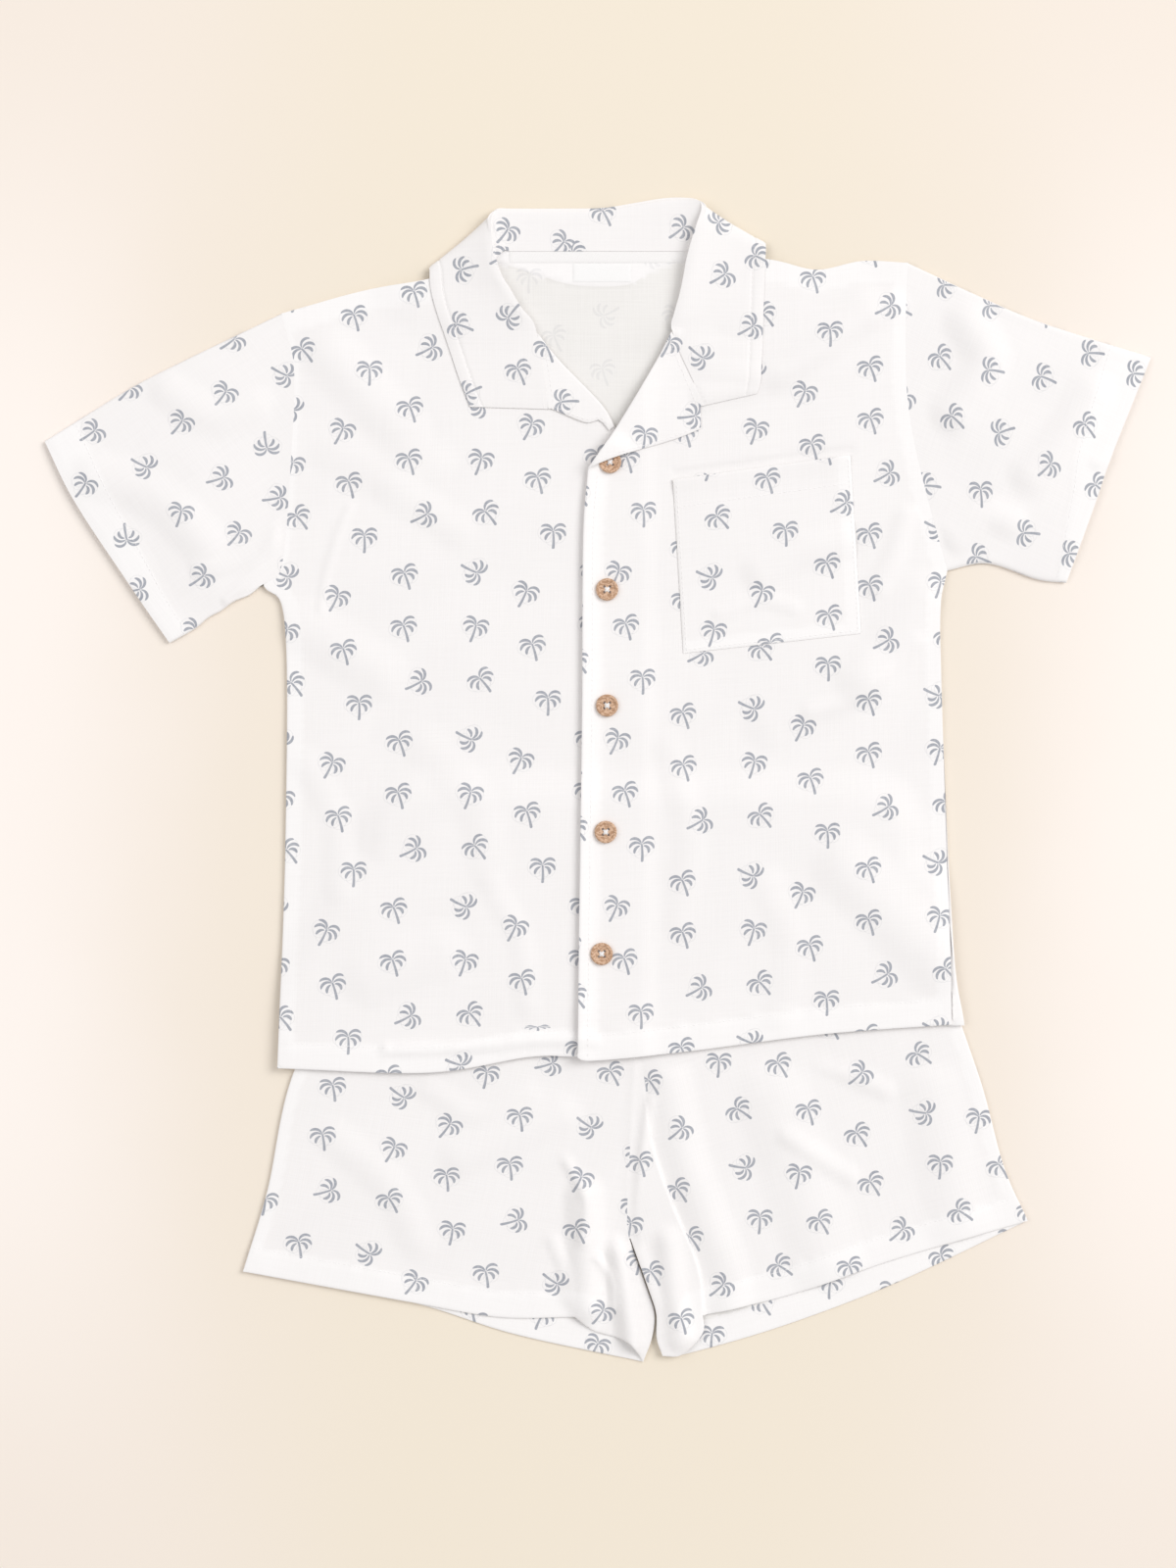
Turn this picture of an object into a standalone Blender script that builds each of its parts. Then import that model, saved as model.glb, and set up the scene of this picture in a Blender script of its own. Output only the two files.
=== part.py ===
"""Child's pyjama set laid flat: a short-sleeved shirt with an open camp collar, lying over its shorts.

Tables are in millimetres, seen from above: x to the viewer's right, y towards the collar, z up.
Left and right in names are the wearer's, so the wearer's right is at negative x.
"""

import math

import bpy
from mathutils import Matrix, Vector
from mathutils.geometry import delaunay_2d_cdt

MM = 0.001

# Driving dimensions
WALL = 1.0  # cloth
GAP = 0.3  # between pieces
LAYER = WALL + GAP
COLLAR_WALL = 1.2
LATTICE = 12.0  # spacing of the points at which heights are set
WIDE_LATTICE = 24.0  # the same on the shorts, where nothing follows the heights
CURVE_STEP = 13.0  # spacing of points along a curved edge
SLEEVE_LOFT = 1.6
SHORTS_CLEARANCE = 3.0  # height of the shirt's back over the shorts
FALL_CLEARANCE = 1.5  # height of the shirt's back over the collar's fall
RAMP_REACH = 17.0  # a raised stretch starts this far outside what it covers
RAMP_RUN = 24.0
HEM_BAND = 16.0
HEM_RISE = 0.4
BUTTON_RADIUS = 6.35
BUTTON_THICKNESS = 2.2
BUTTON_RIM = 1.3
BUTTON_SIDES = 20
BUTTON_DISH = 0.6
BUTTON_SLOPE = 0.6  # run of the slopes at the rim
BUTTON_EDGE, BUTTON_EDGE_DROP = 0.7, 0.5  # the rounded outer edge
BUTTON_HOLE_RADIUS = 0.8
BUTTON_HOLE_PITCH = 1.55  # from the button's middle to a hole's, along x and y
OVERLAP_END_X = 24.0  # where the upper front starts to come down
OVERLAP_HEM_Y = -120.0  # where it starts to rise over the lower front's hem
WAIST_LEFT_X, WAIST_RIGHT_X = -102.0, 152.0
WAIST_LOW_Y, WAIST_HIGH_Y = -55.0, -30.0
WAIST_HEIGHT = 2.7
WAIST_TURN_STEPS = 6
JOIN = 0.05  # ends of edges that are closer than this are one point

# Colours as red, green, blue, then roughness
FINISH = {
    "cloth": (0.92, 0.91, 0.90, 0.9),
    "tape": (0.90, 0.89, 0.88, 0.9),
    "label": (0.93, 0.93, 0.92, 0.8),
    "wood": (0.56, 0.34, 0.20, 0.6),
}

# Edges and seam lines: each row is one point x, y of a smooth curve
EDGES = {
    "neck_back": [(-51, 305.4), (52, 305.4)],
    "shoulder_right": [(-54, 304), (-95, 288), (-134, 281), (-181, 268)],
    "front_shoulder_right": [(-61.5, 300), (-95, 288), (-134, 281), (-181, 268)],
    "armhole_right": [(-181, 268), (-174, 236), (-176, 181), (-181, 124), (-191, 114)],
    "side_right": [(-191, 112), (-179, 90), (-178.6, -29), (-183, -163.5)],
    "hem_front_right": [(-183, -163.5), (-97, -166), (-39, -157), (-11, -157), (22, -157)],
    "underlap": [(22, -157), (22, 190)],
    "hem_front_left": [(-11.5, -157), (-2, -159), (50, -154), (129, -144), (202, -138.5)],
    "placket": [(-11.5, -157), (-10.6, -79.5), (-9, 42), (-8.4, 139), (-5.6, 179)],
    "seam_left": [(202, -138.5), (201, -91), (196.6, 55), (196, 100), (199, 117)],
    "side_left": [(209.5, -139), (203, -91), (196.6, 55), (196, 100), (199, 119)],
    "armhole_left": [(177.5, 297), (176.4, 262), (177.5, 219.5), (185, 178), (200, 121)],
    "shoulder_left": [(54, 304.5), (99, 298.5), (125, 293), (151, 298), (177.5, 297)],
    "front_shoulder_left": [(59, 303), (99, 298.5), (125, 293), (151, 298), (177.5, 297)],
    "hem_back": [(-183, -163.5), (-39, -155), (50, -152), (129, -142), (209.5, -139)],
    "roll_right": [(-34, 256), (-22, 241), (2, 216), (10.6, 202)],
    "roll_right_under": [(10.6, 202), (22, 190)],
    "roll_left": [(42, 257), (32, 238), (11, 203), (-5.6, 179)],
    "gorge_right": [(-33.4, 251.5), (-30.7, 241), (-26.7, 213.5)],
    "lapel_foot_right": [(-26.7, 213.5), (-7, 205.5), (0.6, 207), (6.5, 201.0)],
    "lapel_tip_right": [(6.5, 201.0), (9.4, 203.4)],
    "lapel_roll_right": [(-34, 256), (-22, 241), (2, 216), (9.4, 203.4)],
    "gorge_left": [(42.6, 253.0), (46.6, 243), (58.6, 214.5)],
    "lapel_side_left": [(58.6, 214.5), (59, 202)],
    "lapel_foot_left": [(59, 202), (44, 196), (13, 186.5), (-5.6, 179)],
    "shorts_waist_right": [(-102, -55.3), (24.5, -55.3)],
    "shorts_waist_left": [(24.8, -55.3), (152, -55.3)],
    "shorts_side_right": [(-102, -55.3), (-136, -92), (-174, -166), (-189, -233.5), (-203, -280)],
    "shorts_side_left": [(152, -55.3), (188, -92), (217, -165), (232, -219), (246, -251)],
    "shorts_hem_front_right": [(-203, -280), (-110, -297), (-57, -306), (-13, -306)],
    "shorts_flip_right": [(-13, -306), (-2, -314), (17, -320), (26, -331.5)],
    "shorts_hem_back_right": [(-203, -280), (-110, -297), (-48, -316), (26.5, -332)],
    "shorts_centre": [(24.5, -55.3), (21, -158), (17, -244), (18, -261)],
    "shorts_inseam": [(18, -261), (28, -289.5), (32.5, -304), (31, -318), (26, -331.5)],
    "shorts_inseam_left": [(18.6, -261), (28.9, -289.5), (33.4, -304), (33.6, -318), (37, -328)],
    "shorts_foot_left": [(37, -328), (48, -327.5), (60, -315), (60, -305)],
    "shorts_hem_front_left": [(60, -305), (111, -293), (170, -273), (246, -251)],
    "shorts_hem_back_left": [(37, -328), (48, -328), (104, -312), (170, -287), (246, -251)],
    "pocket_top": [(43, 173), (144.5, 187)],
    "pocket_outer": [(144.5, 187), (150.6, 85)],
    "pocket_foot": [(150.6, 85), (49, 73.6)],
    "pocket_inner": [(49, 73.6), (43, 173)],
}
STRIP_FOLD = [(23.5, -156), (30, -205.5), (42, -242), (57, -279), (60, -315)]
STRIP_RISE = 2.4
STRIP_EDGE = 1.2
STRIP_START_Y, STRIP_START_RUN = -158.0, 30.0  # where the strip starts to rise, under the shirt's hem

# Panels: their edges in order round the outline
PANELS = {
    "shirt_back": ("neck_back", "shoulder_left", "armhole_left", "side_left", "hem_back", "side_right",
                   "armhole_right", "shoulder_right"),
    "shirt_front_right": ("front_shoulder_right", "armhole_right", "side_right", "hem_front_right",
                          "underlap", "roll_right_under", "roll_right", "neck_right"),
    "shirt_front_left": ("front_shoulder_left", "armhole_left", "seam_left", "hem_front_left", "placket",
                         "roll_left", "neck_left"),
    "facing_right": ("gorge_right", "lapel_foot_right", "lapel_tip_right", "lapel_roll_right"),
    "facing_left": ("gorge_left", "lapel_side_left", "lapel_foot_left", "roll_left"),
    "pocket": ("pocket_top", "pocket_outer", "pocket_foot", "pocket_inner"),
    "shorts_back_right": ("shorts_waist_right", "shorts_side_right", "shorts_hem_back_right",
                          "shorts_inseam", "shorts_centre"),
    "shorts_front_right": ("shorts_waist_right", "shorts_side_right", "shorts_hem_front_right",
                           "shorts_flip_right", "shorts_inseam", "shorts_centre"),
    "shorts_back_left": ("shorts_waist_left", "shorts_side_left", "shorts_hem_back_left",
                         "shorts_inseam_left", "shorts_centre_left"),
    "shorts_front_left": ("shorts_waist_left", "shorts_side_left", "shorts_hem_front_left",
                          "shorts_foot_left", "shorts_inseam_left", "shorts_centre_left"),
}

# Largest folds, as soft ridges: panel, start x, y, end x, y, half width, height
FOLDS = [
    ("shirt_front_right", -152, 244, -112, 200, 20, 1.3),
    ("shirt_front_right", -168, 90, -126, 62, 20, 1.3),
    ("shirt_front_right", -130, -112, -90, -98, 20, 1.2),
    ("shirt_front_left", 100, 35, 152, 60, 22, 1.4),
    ("shirt_front_left", 152, 60, 186, 104, 20, 1.6),
    ("shirt_front_left", 142, -48, 196, -104, 24, 1.8),
    ("shirt_front_left", 104, 238, 152, 270, 18, 1.5),
    ("pocket", 93, 120, 142, 138, 14, 1.4),
    ("shorts_front_right", -8, -236, -6, -300, 13, 3.2),
    ("shorts_front_right", 12, -268, 20, -322, 10, 4.0),
    ("shorts_front_right", -22, -190, -78, -214, 16, 1.3),
    ("shorts_front_left", 40, -262, 47, -318, 10, 2.4),
    ("shorts_front_left", 100, -180, 132, -276, 26, 1.8),
    ("shorts_front_left", 190, -175, 206, -250, 22, 1.4),
]

# Collar, one row for each section from the right notch round the back of the neck to the left notch:
# seam x, y, roll x, y, heights of the stand, the roll and the fall beside the roll, outer edge x, y,
# and whether the fall lies over the fronts (1), behind the back (0) or between them
COLLAR = [
    (-27.0, 213.3, -31.0, 213.3, 3.3, 3.3, 3.3, -73.0, 214.5, 1.0),
    (-29.5, 228.0, -33.0, 229.5, 3.4, 3.5, 3.6, -79.0, 230.0, 1.0),
    (-31.5, 241.0, -35.5, 243.5, 3.5, 3.7, 3.9, -84.0, 245.0, 1.0),
    (-34.5, 253.0, -37.5, 255.5, 3.6, 4.0, 4.6, -88.0, 257.0, 1.0),
    (-42.5, 261.0, -40.0, 263.5, 3.7, 4.6, 5.7, -91.5, 267.0, 1.0),
    (-51.5, 270.0, -46.0, 271.0, 4.1, 5.3, 6.8, -94.0, 275.5, 1.0),
    (-57.5, 279.0, -51.8, 281.0, 4.8, 6.2, 7.8, -95.5, 282.5, 1.0),
    (-60.5, 289.0, -57.0, 290.0, 5.2, 6.9, 8.6, -96.0, 287.5, 1.0),
    (-59.0, 298.0, -60.3, 302.0, 5.8, 7.8, 9.0, -96.0, 290.5, 1.0),
    (-55.0, 303.0, -62.2, 313.0, 7.0, 8.6, 8.6, -96.0, 292.0, 0.9),
    (-52.5, 305.4, -62.3, 320.5, 6.6, 7.4, 6.6, -96.0, 294.0, 0.5),
    (-50.0, 306.0, -59.0, 325.5, 5.2, 5.0, 3.4, -92.0, 290.0, 0.0),
    (-44.0, 306.0, -51.0, 326.0, 4.2, 3.2, 1.4, -76.0, 285.0, 0.0),
    (-33.0, 306.0, -36.0, 326.0, 3.6, 2.2, 0.7, -52.0, 281.0, 0.0),
    (-16.0, 306.0, -17.0, 326.0, 3.4, 2.0, 0.6, -26.0, 279.0, 0.0),
    (3.0, 306.0, 3.0, 326.3, 3.4, 2.0, 0.6, 2.0, 278.5, 0.0),
    (20.0, 306.0, 21.0, 329.0, 3.5, 2.1, 0.7, 28.0, 280.0, 0.0),
    (35.0, 306.0, 38.0, 331.7, 3.8, 2.4, 0.9, 52.0, 283.0, 0.0),
    (45.0, 306.0, 51.0, 332.0, 4.4, 3.4, 1.6, 74.0, 288.0, 0.0),
    (50.5, 306.0, 58.0, 331.0, 5.4, 5.2, 3.4, 91.0, 300.0, 0.0),
    (53.0, 305.6, 61.0, 327.0, 6.6, 7.4, 6.6, 95.5, 308.0, 0.5),
    (54.0, 303.0, 58.5, 319.0, 7.0, 8.6, 8.6, 96.0, 303.5, 0.9),
    (54.5, 298.0, 55.0, 309.0, 6.0, 8.0, 9.1, 95.8, 299.5, 1.0),
    (55.5, 290.0, 52.2, 298.0, 5.6, 7.3, 9.0, 95.5, 293.0, 1.0),
    (56.0, 281.0, 50.3, 287.0, 5.0, 6.7, 8.4, 95.2, 285.0, 1.0),
    (54.5, 272.0, 48.3, 277.0, 4.6, 6.1, 7.6, 94.9, 276.0, 1.0),
    (51.0, 264.5, 45.8, 267.5, 4.0, 5.3, 6.7, 94.6, 266.0, 1.0),
    (46.0, 258.5, 44.4, 260.5, 3.7, 4.6, 5.6, 94.3, 256.0, 1.0),
    (43.5, 253.0, 46.5, 252.5, 3.6, 4.0, 4.5, 94.0, 247.0, 1.0),
    (47.5, 243.0, 51.0, 242.0, 3.5, 3.7, 3.8, 93.5, 238.0, 1.0),
    (53.5, 229.0, 57.0, 228.5, 3.4, 3.5, 3.6, 93.0, 229.0, 1.0),
    (59.4, 214.8, 62.9, 215.7, 3.3, 3.3, 3.3, 91.0, 222.0, 1.0),
]
STAND_STEPS = 2
FALL_STEPS = 4
ROLL_EXTRA = 0.7  # how much wider the roll is than half its height
SEAM_CLEAR = 1.4  # from the collar's seam line to the front's neck edge
FIRST_STAND_ROW, LAST_STAND_ROW = 4, 27  # rows between which the collar has a stand

# Sleeves: armhole, upper fold, hem and underarm fold, each from the top or from the armhole outwards
SLEEVES = {
    "sleeve_right": {
        "armhole": [(-181.9, 268.6), (-174.9, 236), (-176.9, 181), (-182.6, 124.6), (-192.4, 115.2)],
        "upper": [(-181.9, 268.6), (-235, 242), (-268, 225), (-316.5, 195)],
        "hem": [(-316.5, 195), (-299, 160), (-268, 113), (-245, 79.5)],
        "under": [(-192.4, 115.2), (-202, 106), (-225, 92), (-245, 79.5)],
    },
    "sleeve_left": {
        "armhole": [(178.4, 296.6), (177.3, 262), (178.4, 219.5), (185.9, 178), (200.9, 121.4)],
        "upper": [(178.4, 296.6), (219.5, 277.5), (254, 263), (316.5, 243)],
        "hem": [(316.5, 243), (294, 187), (284, 158), (268, 114)],
        "under": [(200.9, 121.4), (223, 125), (251, 116), (268, 114)],
    },
}
SLEEVE_ACROSS, SLEEVE_ALONG = 10, 8
SLEEVE_EDGE = 1.3  # from a fold of the sleeve to its inner side
SLEEVE_FOLD_LOW, SLEEVE_FOLD_HIGH = 0.5, 1.6  # heights of the rounded folds

# Buttons on the front that lies on top, from the neck down: x, y
BUTTONS = [(7.0, 182.8), (5.3, 110), (5.3, 43.7), (4.5, -28.5), (2.2, -98)]
LAPEL_CLEAR, LAPEL_RAMP = 1.5, 12.0  # the lapel comes down from the first button over this run
LAPEL_RING_SIDES = 24
TAPE_BOX = (-50.5, 297.0, 51.5, 305.2)
LABEL_BOX = (-14.0, 286.0, 19.0, 296.7)


def smooth_step(t):
    t = min(1.0, max(0.0, t))
    return t * t * (3 - 2 * t)


def spline(points, t):
    """The point at t, from 0 to 1 along a smooth curve through the points."""
    spans = len(points) - 1
    k = min(int(t * spans), spans - 1)
    f = t * spans - k
    b, c = points[k], points[k + 1]
    a = points[k - 1] if k else [2 * p - q for p, q in zip(b, c)]
    d = points[k + 2] if k + 2 <= spans else [2 * q - p for p, q in zip(b, c)]
    return tuple(
        0.5 * (2 * q + (r - p) * f + (2 * p - 5 * q + 4 * r - s) * f * f + (3 * q - p - 3 * r + s) * f ** 3)
        for p, q, r, s in zip(a, b, c, d)
    )


def curve(points, step=CURVE_STEP):
    if len(points) == 2:
        return [tuple(p) for p in points]
    length = sum(math.dist(p, q) for p, q in zip(points, points[1:]))
    count = max(len(points) - 1, round(length / step))
    return [spline(points, i / count) for i in range(count + 1)]


def chained(names):
    """One closed outline from the named edges, each turned to start where the one before it ends."""
    parts = [curve(EDGES[name]) for name in names]
    second = parts[1]
    if min(math.dist(parts[0][0], second[0]), math.dist(parts[0][0], second[-1])) < min(
        math.dist(parts[0][-1], second[0]), math.dist(parts[0][-1], second[-1])
    ):
        parts[0].reverse()
    outline = list(parts[0])
    for part in parts[1:]:
        if math.dist(outline[-1], part[-1]) < math.dist(outline[-1], part[0]):
            part.reverse()
        if math.dist(outline[-1], part[0]) < JOIN:
            part = part[1:]
        outline += part
    if math.dist(outline[0], outline[-1]) < JOIN:
        outline.pop()
    return outline


def inside(x, y, outline):
    found = False
    for (x0, y0), (x1, y1) in zip(outline, outline[1:] + outline[:1]):
        if (y0 > y) != (y1 > y) and x < x0 + (y - y0) / (y1 - y0) * (x1 - x0):
            found = not found
    return found


def to_segment(x, y, start, end):
    (x0, y0), (x1, y1) = start, end
    dx, dy = x1 - x0, y1 - y0
    t = min(1.0, max(0.0, ((x - x0) * dx + (y - y0) * dy) / (dx * dx + dy * dy)))
    return math.hypot(x - x0 - t * dx, y - y0 - t * dy)


def to_line(x, y, points):
    return min(to_segment(x, y, p, q) for p, q in zip(points, points[1:]))


def shifted(points, distance):
    """The same line, moved sideways to the right of its direction."""
    moved = []
    for i, (x, y) in enumerate(points):
        (x0, y0), (x1, y1) = points[max(i - 1, 0)], points[min(i + 1, len(points) - 1)]
        run = math.hypot(x1 - x0, y1 - y0)
        moved.append((x + (y1 - y0) / run * distance, y - (x1 - x0) / run * distance))
    return moved


class Height:
    """A height set at the lattice's nodes by a rule, and taken straight between them."""

    def __init__(self, rule):
        self.rule = rule
        self.known = {}

    def node(self, i, j):
        if (i, j) not in self.known:
            self.known[i, j] = self.rule(i * LATTICE, j * LATTICE)
        return self.known[i, j]

    def __call__(self, x, y):
        i, j = math.floor(x / LATTICE), math.floor(y / LATTICE)
        s, t = x / LATTICE - i, y / LATTICE - j
        a, c = self.node(i, j), self.node(i + 1, j + 1)
        if s >= t:
            b = self.node(i + 1, j)
            return a + s * (b - a) + t * (c - b)
        d = self.node(i, j + 1)
        return a + t * (d - a) + s * (c - d)


def over(outline, height):
    """A rule that lifts cloth over what lies inside the outline, with a soft ramp round it."""

    def rule(x, y):
        away = to_line(x, y, outline + outline[:1])
        if inside(x, y, outline):
            away = 0.0
        return height * (1 - smooth_step((away - RAMP_REACH) / RAMP_RUN))

    return rule


def ridge(fold, x, y):
    _, x0, y0, x1, y1, half, height = fold
    share = to_segment(x, y, (x0, y0), (x1, y1)) / half
    return height * (1 - share * share) ** 2 if share < 1 else 0.0


def fold_lines(fold):
    _, x0, y0, x1, y1, half, _ = fold
    middle = [(x0, y0), (x1, y1)]
    return [middle, shifted(middle, half / 2), shifted(middle, -half / 2)]


def triangulated(outline, lines, holes, lattice):
    """Points and triangles that fill the outline, following the lines and the lattice."""
    points = [Vector(p) for p in outline]
    joins = [(i, (i + 1) % len(outline)) for i in range(len(outline))]
    for loop in holes:
        first = len(points)
        points += [Vector(p) for p in loop]
        joins += [(first + i, first + (i + 1) % len(loop)) for i in range(len(loop))]
    for line in lines:
        first = len(points)
        points += [Vector(p) for p in line]
        joins += [(first + i, first + i + 1) for i in range(len(line) - 1)]
    if lattice:
        low = [math.floor(min(p[k] for p in outline) / lattice) for k in (0, 1)]
        high = [math.ceil(max(p[k] for p in outline) / lattice) for k in (0, 1)]
        index = {}
        for i in range(low[0], high[0] + 1):
            for j in range(low[1], high[1] + 1):
                index[i, j] = len(points)
                points.append(Vector((i * lattice, j * lattice)))
        for (i, j), at in index.items():
            for beside in ((i + 1, j), (i, j + 1), (i + 1, j + 1)):
                if beside in index:
                    joins.append((at, index[beside]))
    found, _, faces, _, _, _ = delaunay_2d_cdt(points, joins, [], 0, 1e-4)
    kept = []
    for face in faces:
        x = sum(found[k].x for k in face) / len(face)
        y = sum(found[k].y for k in face) / len(face)
        if inside(x, y, outline) and not any(inside(x, y, loop) for loop in holes):
            kept.append(tuple(face))
    return [(p.x, p.y) for p in found], kept


def new_object(name, finish, points, faces):
    used = sorted({k for face in faces for k in face})
    place = {k: i for i, k in enumerate(used)}
    mesh = bpy.data.meshes.new(name)
    mesh.from_pydata(
        [[c * MM for c in points[k]] for k in used], [], [[place[k] for k in face] for face in faces]
    )
    material = bpy.data.materials.new(name)
    material.use_nodes = True
    shader = material.node_tree.nodes["Principled BSDF"]
    red, green, blue, rough = FINISH[finish]
    shader.inputs["Base Color"].default_value = (red, green, blue, 1)
    shader.inputs["Roughness"].default_value = rough
    mesh.materials.append(material)
    obj = bpy.data.objects.new(name, mesh)
    bpy.context.scene.collection.objects.link(obj)
    return obj


def plate(name, finish, outline, low, high, lines=(), holes=(), lattice=LATTICE):
    """A closed solid over the outline, between a lower and an upper height."""
    flat, triangles = triangulated(outline, lines, holes, lattice)
    count = len(flat)
    points = [(x, y, low(x, y)) for x, y in flat] + [(x, y, high(x, y)) for x, y in flat]
    faces, sides = [], {}
    for a, b, c in triangles:
        (xa, ya), (xb, yb), (xc, yc) = flat[a], flat[b], flat[c]
        if (xb - xa) * (yc - ya) - (xc - xa) * (yb - ya) < 0:
            b, c = c, b
        faces += [(a + count, b + count, c + count), (a, c, b)]
        for edge in ((a, b), (b, c), (c, a)):
            sides[edge] = True
    for a, b in sides:
        if (b, a) not in sides:
            faces.append((a, b, b + count, a + count))
    return new_object(name, finish, points, faces)


def shell(name, finish, grid, wall):
    """A closed sheet of even thickness on a grid of middle points."""
    rows, columns = len(grid), len(grid[0])
    upper, lower = [], []
    for i in range(rows):
        for j in range(columns):
            along = Vector(grid[min(i + 1, rows - 1)][j]) - Vector(grid[max(i - 1, 0)][j])
            across = Vector(grid[i][min(j + 1, columns - 1)]) - Vector(grid[i][max(j - 1, 0)])
            normal = along.cross(across).normalized() * (wall / 2)
            upper.append(tuple(Vector(grid[i][j]) + normal))
            lower.append(tuple(Vector(grid[i][j]) - normal))
    count = rows * columns
    faces = []
    for i in range(rows - 1):
        for j in range(columns - 1):
            a, b = i * columns + j, i * columns + j + 1
            c, d = b + columns, a + columns
            faces += [(a, d, c), (a, c, b)]
            faces += [(a + count, c + count, d + count), (a + count, b + count, c + count)]
    rim = [(0, j) for j in range(columns)] + [(i, columns - 1) for i in range(1, rows)]
    rim += [(rows - 1, j) for j in range(columns - 2, -1, -1)] + [(i, 0) for i in range(rows - 2, 0, -1)]
    ring = [i * columns + j for i, j in rim]
    for a, b in zip(ring, ring[1:] + ring[:1]):
        faces.append((a, b, b + count, a + count))
    return new_object(name, finish, upper + lower, faces)


# Heights of the layers
def fall_outline():
    behind = [row for row in COLLAR if row[9] <= 0.5]
    return [(row[7], row[8]) for row in behind] + [(row[2], row[3]) for row in reversed(behind)]


SHORTS_SIDES = curve(EDGES["shorts_side_right"]) + curve(EDGES["shorts_side_left"])[::-1]
OVER_SHORTS = over(
    [(WAIST_LEFT_X, WAIST_HIGH_Y)] + SHORTS_SIDES + [(WAIST_RIGHT_X, WAIST_HIGH_Y)],
    SHORTS_CLEARANCE,
)
OVER_FALL = over(fall_outline(), FALL_CLEARANCE)
back_low = Height(lambda x, y: max(OVER_SHORTS(x, y), OVER_FALL(x, y)))
overlap = Height(lambda x, y: (LAYER + HEM_RISE * smooth_step((OVERLAP_HEM_Y - y) / LATTICE))
                 * (1 - smooth_step((x - OVERLAP_END_X) / LATTICE)))
FOLD_HEIGHTS = {
    name: Height(lambda x, y, name=name: sum(ridge(fold, x, y) for fold in FOLDS if fold[0] == name))
    for name in ("shirt_front_right", "shirt_front_left")
}


def front_low(name, x, y):
    height = back_low(x, y) + LAYER + FOLD_HEIGHTS["shirt_front_right"](x, y)
    if name == "shirt_front_left":
        height += overlap(x, y) + FOLD_HEIGHTS[name](x, y)
    return height


def front_top(x, y):
    return front_low("shirt_front_right" if x < 0 else "shirt_front_left", x, y) + WALL


def hem_band(edge, x, y):
    away = to_line(x, y, edge)
    return HEM_RISE * min(1.0, max(0.0, HEM_BAND + 1 - away))


def neck_edge(rows):
    """The front's edge along the collar's seam line, kept clear of it on the outer side."""
    points = []
    for seam_x, seam_y, _, _, _, _, _, edge_x, edge_y, _ in rows:
        run = math.hypot(edge_x - seam_x, edge_y - seam_y)
        points.append((
            seam_x + (edge_x - seam_x) / run * SEAM_CLEAR,
            seam_y + (edge_y - seam_y) / run * SEAM_CLEAR,
        ))
    return points


def build_collar(fronts):
    """One folded band: from the seam up the stand, over the roll and down the fall."""

    def clear(point, side):
        """The height at which the collar clears the fronts, or else the back, below it."""
        x, y = point.x, point.y
        if side < 1:
            return COLLAR_WALL / 2
        on_front = any(inside(x, y, front) or to_line(x, y, front) < SEAM_CLEAR * 2 for front in fronts)
        return (front_top(x, y) if on_front else back_low(x, y) + WALL) + GAP + COLLAR_WALL * 0.75

    grid = []
    for seam_x, seam_y, roll_x, roll_y, stand_z, roll_z, fall_z, edge_x, edge_y, side in COLLAR:
        seam = Vector((seam_x, seam_y, back_low(seam_x, seam_y) + WALL / 2 + LAYER * side))
        edge = Vector((edge_x, edge_y, COLLAR_WALL / 2))
        edge.z += (front_top(edge_x, edge_y) + GAP + COLLAR_WALL - edge.z) * smooth_step(side)
        if side > 0:
            seam.z = max(seam.z, clear(seam, 1))
        roll = Vector((roll_x, roll_y, roll_z))
        radius = 0.5 * abs(fall_z - stand_z) + ROLL_EXTRA
        to_seam = (seam - roll).to_2d().normalized() * radius
        to_edge = (edge - roll).to_2d().normalized() * radius
        stand = Vector((roll_x + to_seam.x, roll_y + to_seam.y, stand_z))
        fall = Vector((roll_x + to_edge.x, roll_y + to_edge.y, fall_z))
        if (seam - roll).to_2d().length < radius:
            stand = (seam + roll) / 2
        row = [seam.lerp(stand, i / STAND_STEPS) for i in range(STAND_STEPS)]
        turn = [tuple(seam), tuple(stand), tuple(roll), tuple(fall), tuple(edge)]
        row += [Vector(spline(turn, t)) for t in (0.25, 0.375, 0.5, 0.625, 0.75)]
        for i in range(1, FALL_STEPS + 1):
            t = i / FALL_STEPS
            point = fall.lerp(edge, t)
            point.z = edge.z + (fall.z - edge.z) * (1 - t) ** 2
            row.append(point)
        for point in row:
            point.z = max(point.z, clear(point, side))
        grid.append([tuple(point) for point in row])
    return shell("collar", "cloth", grid, COLLAR_WALL)


def coons(sides, u, v):
    """A point of the sleeve in plan: u from the upper to the underarm fold, v from armhole to hem."""
    armhole, hem = spline(sides["armhole"], u), spline(sides["hem"], u)
    upper, under = spline(sides["upper"], v), spline(sides["under"], v)
    corners = sides["armhole"][0], sides["armhole"][-1], sides["hem"][0], sides["hem"][-1]
    return tuple(
        (1 - v) * armhole[k] + v * hem[k] + (1 - u) * upper[k] + u * under[k]
        - (1 - u) * (1 - v) * corners[0][k] - u * (1 - v) * corners[1][k]
        - (1 - u) * v * corners[2][k] - u * v * corners[3][k]
        for k in (0, 1)
    )


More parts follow.
